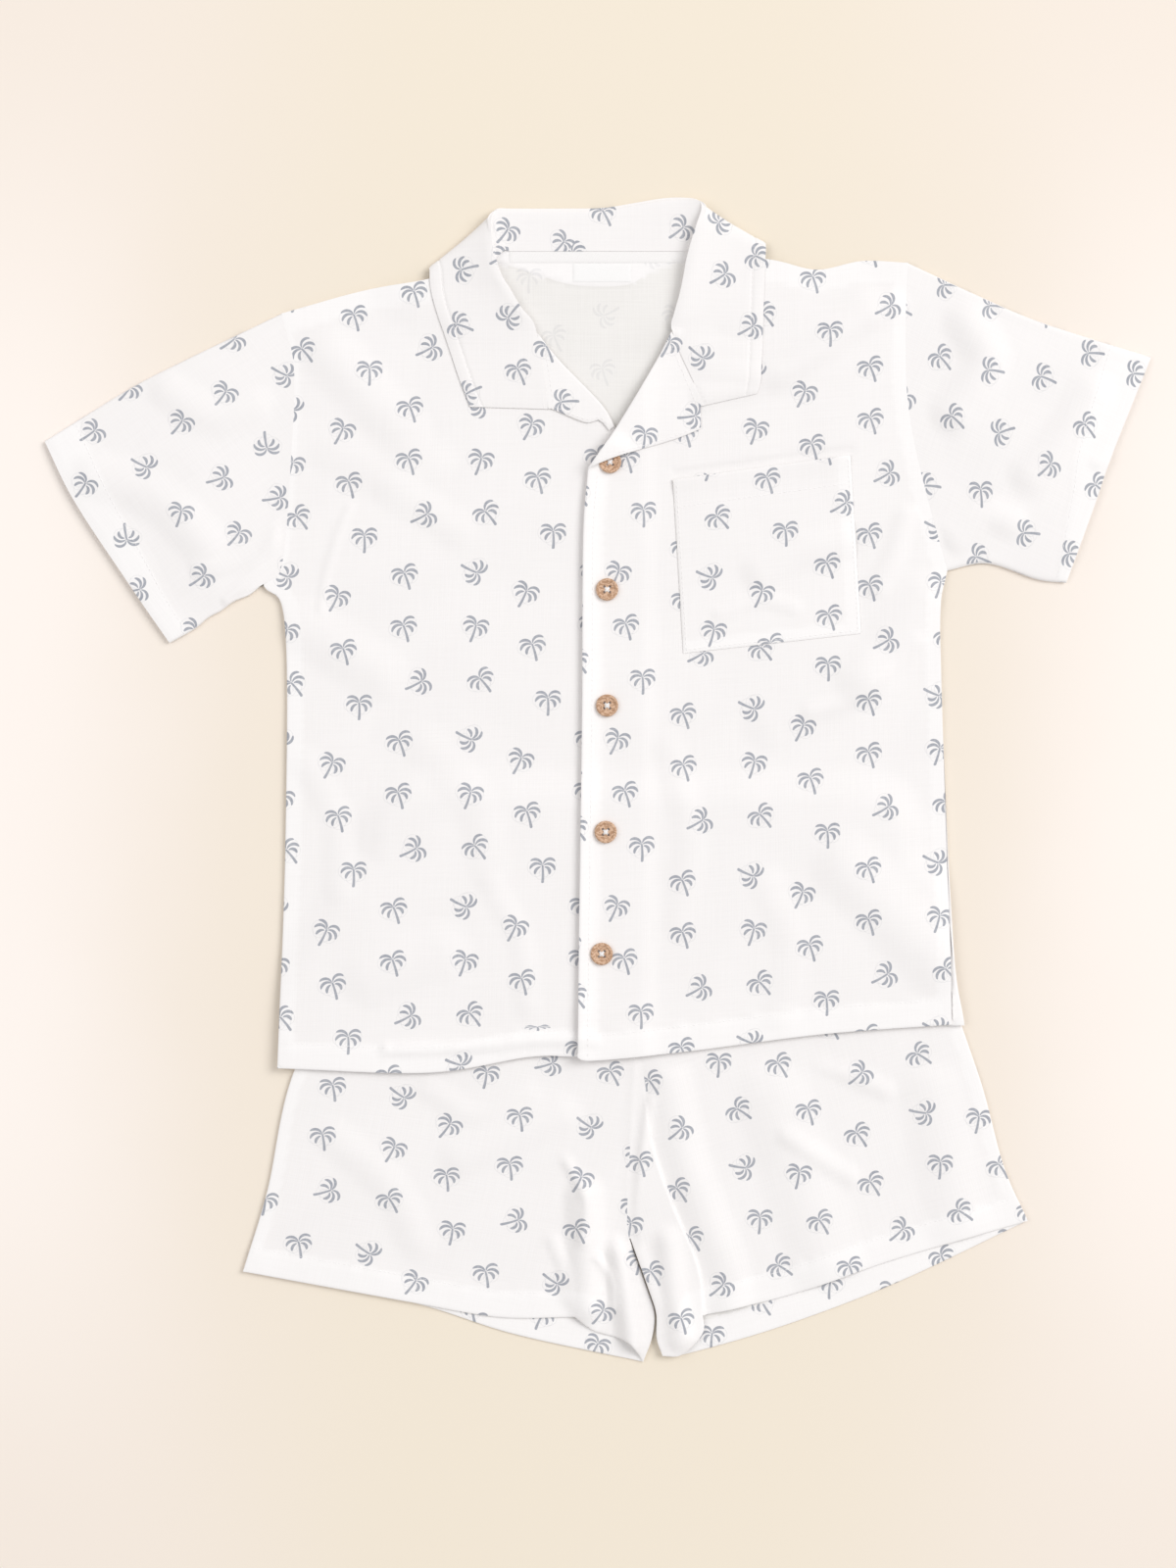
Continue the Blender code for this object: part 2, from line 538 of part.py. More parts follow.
def build_sleeve(name, sides):
    """A flattened tube, open at the armhole and the hem."""
    rings = []
    for i in range(SLEEVE_ALONG + 1):
        v = i / SLEEVE_ALONG
        width = math.dist(coons(sides, 0, v), coons(sides, 1, v))
        inset = SLEEVE_EDGE / width
        spread = [inset + (1 - 2 * inset) * j / SLEEVE_ACROSS for j in range(SLEEVE_ACROSS + 1)]
        stops = [0.0] + spread + [1.0]
        outer, inner = [], []
        for u in stops:
            x, y = coons(sides, u, v)
            loft = SLEEVE_LOFT * smooth_step(v * 2) * math.sin(math.pi * u) ** 0.7
            top = 2 * WALL + GAP + loft
            at_fold = u in (0.0, 1.0)
            outer.append((
                (x, y, SLEEVE_FOLD_LOW if at_fold else 0.0),
                (x, y, SLEEVE_FOLD_HIGH if at_fold else top),
            ))
            if not at_fold:
                inner.append(((x, y, WALL), (x, y, top - WALL)))
        rings.append(([p[0] for p in outer] + [p[1] for p in reversed(outer)],
                      [p[0] for p in inner] + [p[1] for p in reversed(inner)]))
    points, faces = [], []
    starts = []
    for outer, inner in rings:
        starts.append((len(points), len(points) + len(outer)))
        points += outer + inner
    sizes = len(rings[0][0]), len(rings[0][1])
    for (outer_a, inner_a), (outer_b, inner_b) in zip(starts, starts[1:]):
        walls = (outer_a, outer_b, sizes[0], 1), (inner_a, inner_b, sizes[1], -1)
        for first_a, first_b, size, turn in walls:
            for j in range(size):
                k = (j + 1) % size
                quad = (first_a + j, first_a + k, first_b + k, first_b + j)
                faces.append(quad[::turn])
    for (outer_at, inner_at), turn in ((starts[0], -1), (starts[-1], 1)):
        columns = len(rings[0][1]) // 2
        for layer in (0, 1):
            for j in range(columns - 1):
                a = outer_at + layer * (columns + 2) + 1 + j
                b = inner_at + layer * columns + j
                faces.append((a, a + 1, b + 1, b)[::turn])
        low_in, high_in = inner_at, inner_at + 2 * columns - 1
        start, end = outer_at, outer_at + sizes[0] - 1
        faces.append((start, start + 1, low_in, high_in, end - 1, end)[::turn])
        low_in, high_in = inner_at + columns - 1, inner_at + columns
        start = outer_at + columns + 1
        faces.append((start - 1, start, start + 1, start + 2, high_in, low_in)[::turn])
    obj = new_object(name, "cloth", points, faces)
    if name == "sleeve_left":
        obj.data.flip_normals()
    return obj


def build_waistband():
    """A flattened ring of cloth: the casing, open at both edges."""
    def ring(inset):
        left, right = WAIST_LEFT_X + inset, WAIST_RIGHT_X - inset
        radius, middle = WAIST_HEIGHT / 2 - inset, WAIST_HEIGHT / 2
        turned = [math.pi * i / WAIST_TURN_STEPS for i in range(WAIST_TURN_STEPS + 1)]
        points = [(right - radius + radius * math.sin(a), middle - radius * math.cos(a)) for a in turned]
        points += [(left + radius - radius * math.sin(a), middle + radius * math.cos(a)) for a in turned]
        return points

    outer, inner = ring(0.0), ring(WALL)
    points, faces = [], []
    for y in (WAIST_LOW_Y, WAIST_HIGH_Y):
        points += [(x, y, z) for x, z in outer] + [(x, y, z) for x, z in inner]
    size = len(outer)
    for j in range(size):
        k = (j + 1) % size
        front, back = 0, 2 * size
        faces.append((front + j, front + k, back + k, back + j)[::-1])
        faces.append((front + size + j, front + size + k, back + size + k, back + size + j))
        faces.append((front + j, front + k, front + size + k, front + size + j))
        faces.append((back + j, back + k, back + size + k, back + size + j)[::-1])
    return new_object("waistband", "cloth", points, faces)


def circle(x, y, radius, count):
    turned = [2 * math.pi * i / count for i in range(count)]
    return [(x + radius * math.cos(a), y + radius * math.sin(a)) for a in turned]


def build_button(number, x, y):
    """A turned disc with a raised rim, a dished middle and four holes through it."""
    under = [(x, y)] + circle(x, y, BUTTON_RADIUS, BUTTON_SIDES)
    low = max(front_low("shirt_front_left", *point) for point in under) + LAYER

    def high(px, py):
        away = math.hypot(px - x, py - y)
        dish = BUTTON_DISH * smooth_step((BUTTON_RADIUS - BUTTON_RIM - away) / BUTTON_SLOPE)
        edge = BUTTON_EDGE_DROP * smooth_step((away - BUTTON_RADIUS + BUTTON_EDGE) / BUTTON_SLOPE)
        return low + BUTTON_THICKNESS - dish - edge

    holes = [
        circle(x + side * BUTTON_HOLE_PITCH, y + end * BUTTON_HOLE_PITCH, BUTTON_HOLE_RADIUS, 6)
        for side in (-1, 1) for end in (-1, 1)
    ]
    insets = (BUTTON_EDGE, BUTTON_RIM, BUTTON_RIM + BUTTON_SLOPE)
    lines = [circle(x, y, BUTTON_RADIUS - inset, BUTTON_SIDES) for inset in insets]
    lines = [line + line[:1] for line in lines]
    plate(f"button_{number}", "wood", circle(x, y, BUTTON_RADIUS, BUTTON_SIDES), lambda px, py: low, high,
          lines, holes, lattice=0)


def build_shirt():
    plate("shirt_back", "cloth", chained(PANELS["shirt_back"]), back_low,
          lambda x, y: back_low(x, y) + WALL)
    for name, hem in (("shirt_front_right", "hem_front_right"), ("shirt_front_left", "hem_front_left")):
        edge = curve(EDGES[hem])
        lines = [shifted(edge, -HEM_BAND), shifted(edge, -HEM_BAND - 1)]
        plate(name, "cloth", chained(PANELS[name]), lambda x, y, name=name: front_low(name, x, y),
              lambda x, y, name=name, edge=edge: front_low(name, x, y) + WALL + hem_band(edge, x, y), lines)


def lapel_low(name, front, x, y):
    height = front_low(front, x, y) + LAYER
    if name == "facing_left":
        first = BUTTONS[0]
        away = math.dist((x, y), first) - BUTTON_RADIUS
        height += (BUTTON_THICKNESS + GAP) * (1 - smooth_step((away - LAPEL_CLEAR) / LAPEL_RAMP))
    return height


def build_lapels():
    for name, front in (("facing_right", "shirt_front_right"), ("facing_left", "shirt_front_left")):
        lines = []
        if name == "facing_left":
            x, y = BUTTONS[0]
            rings = [BUTTON_RADIUS + LAPEL_CLEAR + LAPEL_RAMP * share for share in (0, 1 / 3, 2 / 3, 1)]
            lines = [circle(x, y, radius, LAPEL_RING_SIDES) for radius in rings]
            lines = [line + line[:1] for line in lines]
        plate(name, "cloth", chained(PANELS[name]),
              lambda x, y, name=name, front=front: lapel_low(name, front, x, y),
              lambda x, y, name=name, front=front: lapel_low(name, front, x, y) + WALL, lines)


def build_trims():
    name = "pocket"
    folds = [fold for fold in FOLDS if fold[0] == name]

    def low(x, y):
        return front_low("shirt_front_left", x, y) + LAYER + sum(ridge(fold, x, y) for fold in folds)

    lines = [line for fold in folds for line in fold_lines(fold)]
    plate(name, "cloth", chained(PANELS[name]), low, lambda x, y: low(x, y) + WALL, lines)
    for name, finish, box in (("neck_tape", "tape", TAPE_BOX), ("neck_label", "label", LABEL_BOX)):
        x0, y0, x1, y1 = box
        plate(name, finish, [(x0, y0), (x1, y0), (x1, y1), (x0, y1)],
              lambda x, y: back_low(x, y) + LAYER, lambda x, y: back_low(x, y) + LAYER + WALL)


def strip_rise(x, y):
    """The raised strip along the left leg's inner edge, where the cloth doubles over itself."""
    line = curve(STRIP_FOLD)
    right_of = min(zip(line, line[1:]), key=lambda pair: to_segment(x, y, *pair))
    (x0, y0), (x1, y1) = right_of
    beside = ((x1 - x0) * (y - y0) - (x - x0) * (y1 - y0)) / math.dist((x0, y0), (x1, y1))
    away = to_segment(x, y, (x0, y0), (x1, y1))
    if beside < 0:
        away = -away
    return STRIP_RISE * (1 - min(1.0, max(0.0, away / STRIP_EDGE)))


def build_shorts():
    for side in ("right", "left"):
        plate(f"shorts_back_{side}", "cloth", chained(PANELS[f"shorts_back_{side}"]), lambda x, y: 0.0,
              lambda x, y: WALL)
        name = f"shorts_front_{side}"
        folds = [fold for fold in FOLDS if fold[0] == name]
        lines = [line for fold in folds for line in fold_lines(fold)]
        edge = curve(EDGES[f"shorts_hem_front_{side}"])
        lines += [shifted(edge, -HEM_BAND), shifted(edge, -HEM_BAND - 1)]
        if side == "left":
            fold = curve(STRIP_FOLD)
            lines += [fold, shifted(fold, -STRIP_EDGE)]

        def low(x, y, folds=folds, side=side):
            height = LAYER + sum(ridge(fold, x, y) for fold in folds)
            if side == "left":
                height += strip_rise(x, y) * smooth_step((STRIP_START_Y - y) / STRIP_START_RUN)
            return height

        plate(name, "cloth", chained(PANELS[name]), low,
              lambda x, y, low=low, edge=edge: low(x, y) + WALL + hem_band(edge, x, y), lines,
              lattice=WIDE_LATTICE)
    build_waistband()


def stand_on_origin():
    """Moves everything so that the whole set is centred over the origin and rests at zero."""
    corners = [v.co for obj in bpy.data.objects for v in obj.data.vertices]
    low = Vector([min(c[k] for c in corners) for k in range(3)])
    high = Vector([max(c[k] for c in corners) for k in range(3)])
    middle = (low + high) / 2
    for obj in bpy.data.objects:
        obj.data.transform(Matrix.Translation((-middle.x, -middle.y, -low.z)))


def main():
    for obj in list(bpy.data.objects):
        bpy.data.objects.remove(obj)
    EDGES["shorts_centre_left"] = shifted(EDGES["shorts_centre"], -GAP)
    middle = len(COLLAR) // 2
    EDGES["neck_right"] = neck_edge([row for row in COLLAR[FIRST_STAND_ROW:middle] if row[9] == 1])
    EDGES["neck_left"] = neck_edge([row for row in COLLAR[middle:LAST_STAND_ROW + 1] if row[9] == 1])
    build_shirt()
    build_lapels()
    build_trims()
    build_collar([chained(PANELS[name]) for name in ("shirt_front_right", "shirt_front_left")])
    for name, sides in SLEEVES.items():
        build_sleeve(name, sides)
    for number, (x, y) in enumerate(BUTTONS, 1):
        build_button(number, x, y)
    build_shorts()
    stand_on_origin()


main()
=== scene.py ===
"""Looks of the child's pyjama set: printed cotton, seams and hems, wooden buttons, floor and light.

Tables are in millimetres, seen from above: x to the viewer's right, y towards the collar, z up.
Left and right in names are the wearer's, so the wearer's right is at negative x.
"""

import math

import bpy
import numpy as np
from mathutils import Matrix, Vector
from mathutils.geometry import delaunay_2d_cdt


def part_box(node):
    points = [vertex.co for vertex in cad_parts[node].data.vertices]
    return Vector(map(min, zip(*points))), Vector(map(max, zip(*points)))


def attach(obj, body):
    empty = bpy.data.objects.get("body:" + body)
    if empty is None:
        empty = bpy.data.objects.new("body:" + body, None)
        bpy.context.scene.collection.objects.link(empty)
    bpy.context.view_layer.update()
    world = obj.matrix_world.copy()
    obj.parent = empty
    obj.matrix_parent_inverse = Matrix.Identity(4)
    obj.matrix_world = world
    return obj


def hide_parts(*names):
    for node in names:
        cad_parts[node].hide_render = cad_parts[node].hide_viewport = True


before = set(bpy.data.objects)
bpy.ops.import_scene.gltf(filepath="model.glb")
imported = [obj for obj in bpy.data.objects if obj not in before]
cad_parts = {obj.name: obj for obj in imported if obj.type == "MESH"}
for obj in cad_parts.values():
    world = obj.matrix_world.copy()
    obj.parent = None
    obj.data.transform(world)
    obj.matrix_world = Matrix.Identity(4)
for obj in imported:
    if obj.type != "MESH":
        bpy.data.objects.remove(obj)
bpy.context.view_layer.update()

MM = 0.001
TINY = 1e-9
TINY_LENGTH = 1e-12
UP = (0.0, 0.0, 1.0)

# Layers and slopes, as in the solids
WALL = 1.0
GAP = 0.3
LAYER = WALL + GAP
COLLAR_WALL = 1.2
SEAM_CLEAR = 1.4
SHORTS_CLEARANCE = 3.0
FALL_CLEARANCE = 1.5
RAMP_REACH, RAMP_RUN = 17.0, 24.0
OVERLAP_END_X, OVERLAP_HEM_Y, OVERLAP_RUN = 24.0, -120.0, 12.0
HEM_BAND, HEM_RISE = 16.0, 0.4
PLACKET_LIFT, PLACKET_REACH = 2.4, 6.3
LAPEL_CLEAR, LAPEL_RAMP = 1.5, 12.0
FIRST_STAND_ROW, LAST_STAND_ROW = 4, 27

# The cloth that is drawn
CLOTH = 0.92
EDGE_DROP, SOFT_RUN = 0.40, 1.7  # how much an edge is rounded, and how far in
SEAM_SOFT, SEAM_RUN = 0.15, 3.0  # the share of that rounding where a panel is sewn to another
RIM_ANGLE = math.radians(48)  # where faces meet at more than this, their shading isn't blended
DRAWN_HIGHER = 1.35  # the drawn folds are this many times as high as the solids'
SEAM_LAP = 0.25  # how far the edges of the shorts' centre seam go past each other
GORGE_REACH = 1.6  # the lapel's drawn edge goes this much further, to the collar
RUMPLE, LARGE_HILL, SMALL_HILL = 0.5, 47, 21  # height and sizes of the small unevenness
DOUBLED_BLUR = 1.6  # width over which single cloth turns to doubled
SEEDED = np.random.default_rng(11).uniform(-1, 1, (8, 64, 64))  # heights of the soft unevenness

# Fineness of the meshes
GRID, EDGE_STEP, COARSE_STEP = 2.9, 2.9, 13.0
CURVE_FINE = 24  # points of a smooth curve for each span of its table
SAME_POINT = 0.5  # edges that end nearer than this share a point
RINGS = (0.35, 0.95, 2.0)  # rows of points inside each edge
RING_SHARE = 0.93  # a point of such a row is kept at this share of its distance or more
FIELD_MARGIN, HOLE_MARGIN = 0.45, 0.4  # of a grid step, between the grid and the rows or holes
ROW_MARGIN = 0.8  # between the grid and the rows of points
CREASE_STEP, CREASE_ROW_STEP = 6, 2.2
CREASE_ROWS = (-0.85, -0.55, -0.27, 0, 0.27, 0.55, 0.85)
FINE_CREASE = 8.0  # creases narrower than this get rows of points of their own
HEM_ROW_STEP = 2.0  # between the points along a hem's stitching

# Stitching
STITCH_PITCH, STITCH_RADIUS, STITCH_START = 2.9, 0.13, 0.4
STITCH_ALONG = np.array([0.0, 0.2, 0.5, 0.62, 0.8])  # its points, as shares of the pitch
STITCH_HEIGHT = np.array([-0.16, 0.06, 0.09, 0.06, -0.16])
STITCH_MARGIN = 0.9  # least distance to the panel's edge
THREAD_END = 0.45  # the share of its radius that a thread has at its ends
HEM_STITCH = HEM_BAND - 1.6
HEM_GROOVE, GROOVE_HALF = 0.28, 0.9
BAND_START, BAND_SLOPE = 0.6, 1.4  # where the band's upper step starts, and its width
PUCKER, PUCKER_AT, PUCKER_HALF, PUCKER_SIZE, PUCKER_ROW = 0.25, 2.0, 5.0, 5.5, 3.3
PLACKET_STITCH = 5.6
LAPEL_STITCH = 1.6

# Edges and seam lines: the points x, y of smooth curves
EDGES = {
    "neck_back": [(-51, 305.4), (52, 305.4)],
    "shoulder_right": [(-54, 304), (-95, 288), (-134, 281), (-181, 268)],
    "front_shoulder_right": [(-61.5, 300), (-95, 288), (-134, 281), (-181, 268)],
    "armhole_right": [(-181, 268), (-174, 236), (-176, 181), (-181, 124), (-191, 114)],
    "side_right": [(-191, 112), (-179, 90), (-178.6, -29), (-183, -163.5)],
    "hem_front_right": [(-183, -163.5), (-97, -166), (-39, -157), (-11, -157), (22, -157)],
    "underlap": [(22, -157), (22, 190)],
    "hem_front_left": [(-11.5, -157), (-2, -159), (50, -154), (129, -144), (202, -138.5)],
    "placket": [(-11.5, -157), (-10.6, -79.5), (-9, 42), (-8.4, 139), (-5.6, 179)],
    "seam_left": [(202, -138.5), (201, -91), (196.6, 55), (196, 100), (199, 117)],
    "side_left": [(209.5, -139), (203, -91), (196.6, 55), (196, 100), (199, 119)],
    "armhole_left": [(177.5, 297), (176.4, 262), (177.5, 219.5), (185, 178), (200, 121)],
    "shoulder_left": [(54, 304.5), (99, 298.5), (125, 293), (151, 298), (177.5, 297)],
    "front_shoulder_left": [(59, 303), (99, 298.5), (125, 293), (151, 298), (177.5, 297)],
    "hem_back": [(-183, -163.5), (-39, -155), (50, -152), (129, -142), (209.5, -139)],
    "roll_right": [(-34, 256), (-22, 241), (2, 216), (10.6, 202)],
    "roll_right_under": [(10.6, 202), (22, 190)],
    "roll_left": [(42, 257), (32, 238), (11, 203), (-5.6, 179)],
    "gorge_right": [(-33.4, 251.5), (-30.7, 241), (-26.7, 213.5)],
    "lapel_foot_right": [(-26.7, 213.5), (-7, 205.5), (0.6, 207), (6.5, 201)],
    "lapel_tip_right": [(6.5, 201), (9.4, 203.4)],
    "lapel_roll_right": [(-34, 256), (-22, 241), (2, 216), (9.4, 203.4)],
    "gorge_left": [(42.6, 253), (46.6, 243), (58.6, 214.5)],
    "lapel_side_left": [(58.6, 214.5), (59, 202)],
    "lapel_foot_left": [(59, 202), (44, 196), (13, 186.5), (-5.6, 179)],
    "shorts_waist_right": [(-102, -55.3), (24.5, -55.3)],
    "shorts_waist_left": [(24.8, -55.3), (152, -55.3)],
    "shorts_side_right": [(-102, -55.3), (-136, -92), (-174, -166), (-189, -233.5), (-203, -280)],
    "shorts_side_left": [(152, -55.3), (188, -92), (217, -165), (232, -219), (246, -251)],
    "shorts_hem_front_right": [(-203, -280), (-110, -297), (-57, -306), (-13, -306)],
    "shorts_flip_right": [(-13, -306), (-2, -314), (17, -320), (26, -331.5)],
    "shorts_hem_back_right": [(-203, -280), (-110, -297), (-48, -316), (26.5, -332)],
    "shorts_centre": [(24.5, -55.3), (21, -158), (17, -244), (18, -261)],
    "shorts_inseam": [(18, -261), (28, -289.5), (32.5, -304), (31, -318), (26, -331.5)],
    "shorts_inseam_left": [(18.6, -261), (28.9, -289.5), (33.4, -304), (33.6, -318), (37, -328)],
    "shorts_foot_left": [(37, -328), (48, -327.5), (60, -315), (60, -305)],
    "shorts_hem_front_left": [(60, -305), (111, -293), (170, -273), (246, -251)],
    "shorts_hem_back_left": [(37, -328), (48, -328), (104, -312), (170, -287), (246, -251)],
    "pocket_top": [(43, 173), (144.5, 187)],
    "pocket_outer": [(144.5, 187), (150.6, 85)],
    "pocket_foot": [(150.6, 85), (49, 73.6)],
    "pocket_inner": [(49, 73.6), (43, 173)],
}

# Panels: their edges in order round the outline
PANELS = {
    "shirt_back": "neck_back shoulder_left armhole_left side_left hem_back side_right "
                  "armhole_right shoulder_right",
    "shirt_front_right": "front_shoulder_right armhole_right side_right hem_front_right underlap "
                         "roll_right_under roll_right neck_right",
    "shirt_front_left": "front_shoulder_left armhole_left seam_left hem_front_left placket "
                        "roll_left neck_left",
    "facing_right": "gorge_right lapel_foot_right lapel_tip_right lapel_roll_right",
    "facing_left": "gorge_left lapel_side_left lapel_foot_left roll_left",
    "pocket": "pocket_top pocket_outer pocket_foot pocket_inner",
    "shorts_back_right": "shorts_waist_right shorts_side_right shorts_hem_back_right "
                         "shorts_inseam shorts_centre",
    "shorts_front_right": "shorts_waist_right shorts_side_right shorts_hem_front_right "
                          "shorts_flip_right shorts_inseam shorts_centre",
    "shorts_back_left": "shorts_waist_left shorts_side_left shorts_hem_back_left "
                        "shorts_inseam_left shorts_centre_left",
    "shorts_front_left": "shorts_waist_left shorts_side_left shorts_hem_front_left "
                         "shorts_foot_left shorts_inseam_left shorts_centre_left",
}

# Folds and creases of each panel: half width, height, then the points of the crest
CREASES = {
    "shirt_front_right": [
        (20, 1.3, [(-152, 244), (-112, 200)]),
        (20, 1.3, [(-168, 90), (-126, 62)]),
        (20, 1.2, [(-130, -112), (-90, -98)]),
        (4.5, 0.5, [(-141.7, 157.4), (-148.4, 141.7), (-155.7, 116.5), (-158.5, 98.6)]),
        (14, 0.8, [(-118, 167), (-98, 156), (-81, 144)]),
        (12, 0.7, [(-166, 10), (-150, -22), (-148, -60)]),
        (16, 0.7, [(-98, 20), (-70, -12), (-62, -48)]),
        (10, 0.6, [(-60, -60), (-44, -92), (-40, -128)]),
        (6, 1.1, [(-120, -152.6), (-89, -151.8), (-63, -150.2), (-44, -148), (-30, -147),
                 (-2, -147)]),
        (18, 0.8, [(-150, 190), (-120, 176), (-96, 182)]),
    ],
    "shirt_front_left": [
        (22, 1.4, [(100, 35), (152, 60)]),
        (20, 1.6, [(152, 60), (186, 104)]),
        (24, 1.8, [(142, -48), (196, -104)]),
        (18, 1.5, [(104, 238), (152, 270)]),
        (12, 1.2, [(62, 222), (106, 234), (140, 258), (168, 272)]),
        (9, 1.0, [(176, 152), (170, 132), (160, 112)]),
        (8, 0.9, [(122, 40), (150, 50), (182, 80)]),
        (12, 0.7, [(40, 20), (52, -30), (46, -80)]),
        (14, 0.7, [(98, -60), (110, -98), (104, -134)]),
        (4, -0.45, [(44, 176.2), (94, 183.1), (144, 190)]),
    ],
    "pocket": [
        (14, 1.4, [(93, 120), (115, 131), (142, 138)]),
        (7, 0.6, [(70, 96), (92, 104), (112, 100)]),
    ],
    "sleeve_right": [
        (5, 0.9, [(-230, 121), (-206, 124), (-185, 137)]),
        (5, 0.8, [(-212, 104), (-196, 122), (-182, 143)]),
        (17, 1.5, [(-286, 176), (-252, 162), (-226, 138)]),
        (14, 1.1, [(-246, 224), (-218, 208), (-196, 214)]),
    ],
    "sleeve_left": [
        (17, 2.1, [(212, 262), (222, 240), (204, 212)]),
        (16, 1.9, [(282, 222), (266, 196), (248, 176)]),
        (6, 0.8, [(286, 182), (300, 186), (308, 190)]),
        (12, 1.4, [(206, 140), (222, 152), (236, 148)]),
    ],
    "shorts_front_right": [
        (13, 3.2, [(-8, -236), (-6, -300)]),
        (10, 4.0, [(12, -268), (20, -322)]),
        (16, 1.3, [(-22, -190), (-78, -214)]),
        (5, 1.0, [(-18, -217), (-6, -240), (-9, -262)]),
        (4, 1.1, [(0, -272), (7, -284), (8, -300)]),
        (6, 0.8, [(-26, -262), (-19, -280), (-17, -296)]),
        (14, 0.9, [(-150, -204), (-118, -232), (-104, -262)]),
        (10, 0.7, [(-96, -176), (-70, -190), (-40, -178)]),
    ],
    "shorts_front_left": [
        (10, 2.4, [(40, -262), (47, -318)]),
        (26, 1.8, [(100, -180), (132, -276)]),
        (22, 1.4, [(190, -175), (206, -250)]),
        (16, 2.0, [(40, -166), (48, -208), (60, -244), (74, -279), (76, -303)]),
        (8, 1.0, [(128, -160), (146, -168), (164, -176)]),
        (8, 1.1, [(108, -202), (126, -214), (144, -226)]),
        (5, 0.9, [(30, -182), (20, -250), (34, -300)]),
    ],
}

# Where the cloth is doubled and so looks whiter: the panel's edges, and how far in
DOUBLED = {
    "shirt_front_right": (("hem_front_right", 15.5), ("side_right", 9.0), ("armhole_right", 3.0),
                          ("front_shoulder_right", 12.0)),
    "shirt_front_left": (("hem_front_left", 15.5), ("seam_left", 8.0), ("armhole_left", 8.0),
                         ("placket", 12.0), ("front_shoulder_left", 12.0)),
    "pocket": (("pocket_outer", 8.0), ("pocket_foot", 7.0)),
    "shorts_front_right": (("shorts_hem_front_right", 15.5), ("shorts_side_right", 7.0)),
    "shorts_front_left": (("shorts_hem_front_left", 15.5), ("shorts_side_left", 7.0)),
    "shorts_back_right": (("shorts_hem_back_right", 15.5),),
    "shorts_back_left": (("shorts_hem_back_left", 15.5),),
}
# Lower edge of the doubled cloth inside the back of the neck
YOKE = [(-58, 297), (-38, 291), (-14, 284), (16.8, 284), (30.8, 292.5), (47.6, 297.9), (58, 299)]
YOKE_RISE, YOKE_STEP, YOKE_HALF = 0.3, 0.7, 62.0
# Where the back wraps round the left side seam to the front
WRAP_RISE, WRAP_STEP, WRAP_TOP_Y, WRAP_X = 1.3, 0.9, 112.0, 185.0
# Where the right front's hem puffs up, and how much of the print is hidden in the fold above it
HEM_FOLD = [(-130, -147.2), (-89.3, -146), (-63.3, -144.8), (-44.4, -142.6), (-25, -141.5),
            (0, -141.5)]
HEM_FOLD_START_X, HEM_FOLD_SHARE = -115.0, 0.14

LAPEL_GRID, LAPEL_DOUBLED = 2.2, 0.35
POCKET_GRID, POCKET_LINE_STEP = 2.4, 3.0
POCKET_CLOTH = 0.6
POCKET_LIE = 0.06  # gap between the front and the pocket's drawn cloth
POCKET_GAPE, POCKET_GAPE_RUN = 0.9, 12.0  # how much its open edge stands up
POCKET_STITCH, POCKET_HEM = 1.8, 16.0
TAPE_BOX = (-50.5, 297.0, 51.5, 304.6)
LABEL_BOX = (-14.0, 286.0, 19.0, 296.7)
TRIM_GAP, TRIM_THICKNESS, TRIM_DROP = 0.02, 0.28, 0.15
TRIM_STEP, TRIM_GRID, TRIM_RINGS = 1.5, 1.6, (0.4,)

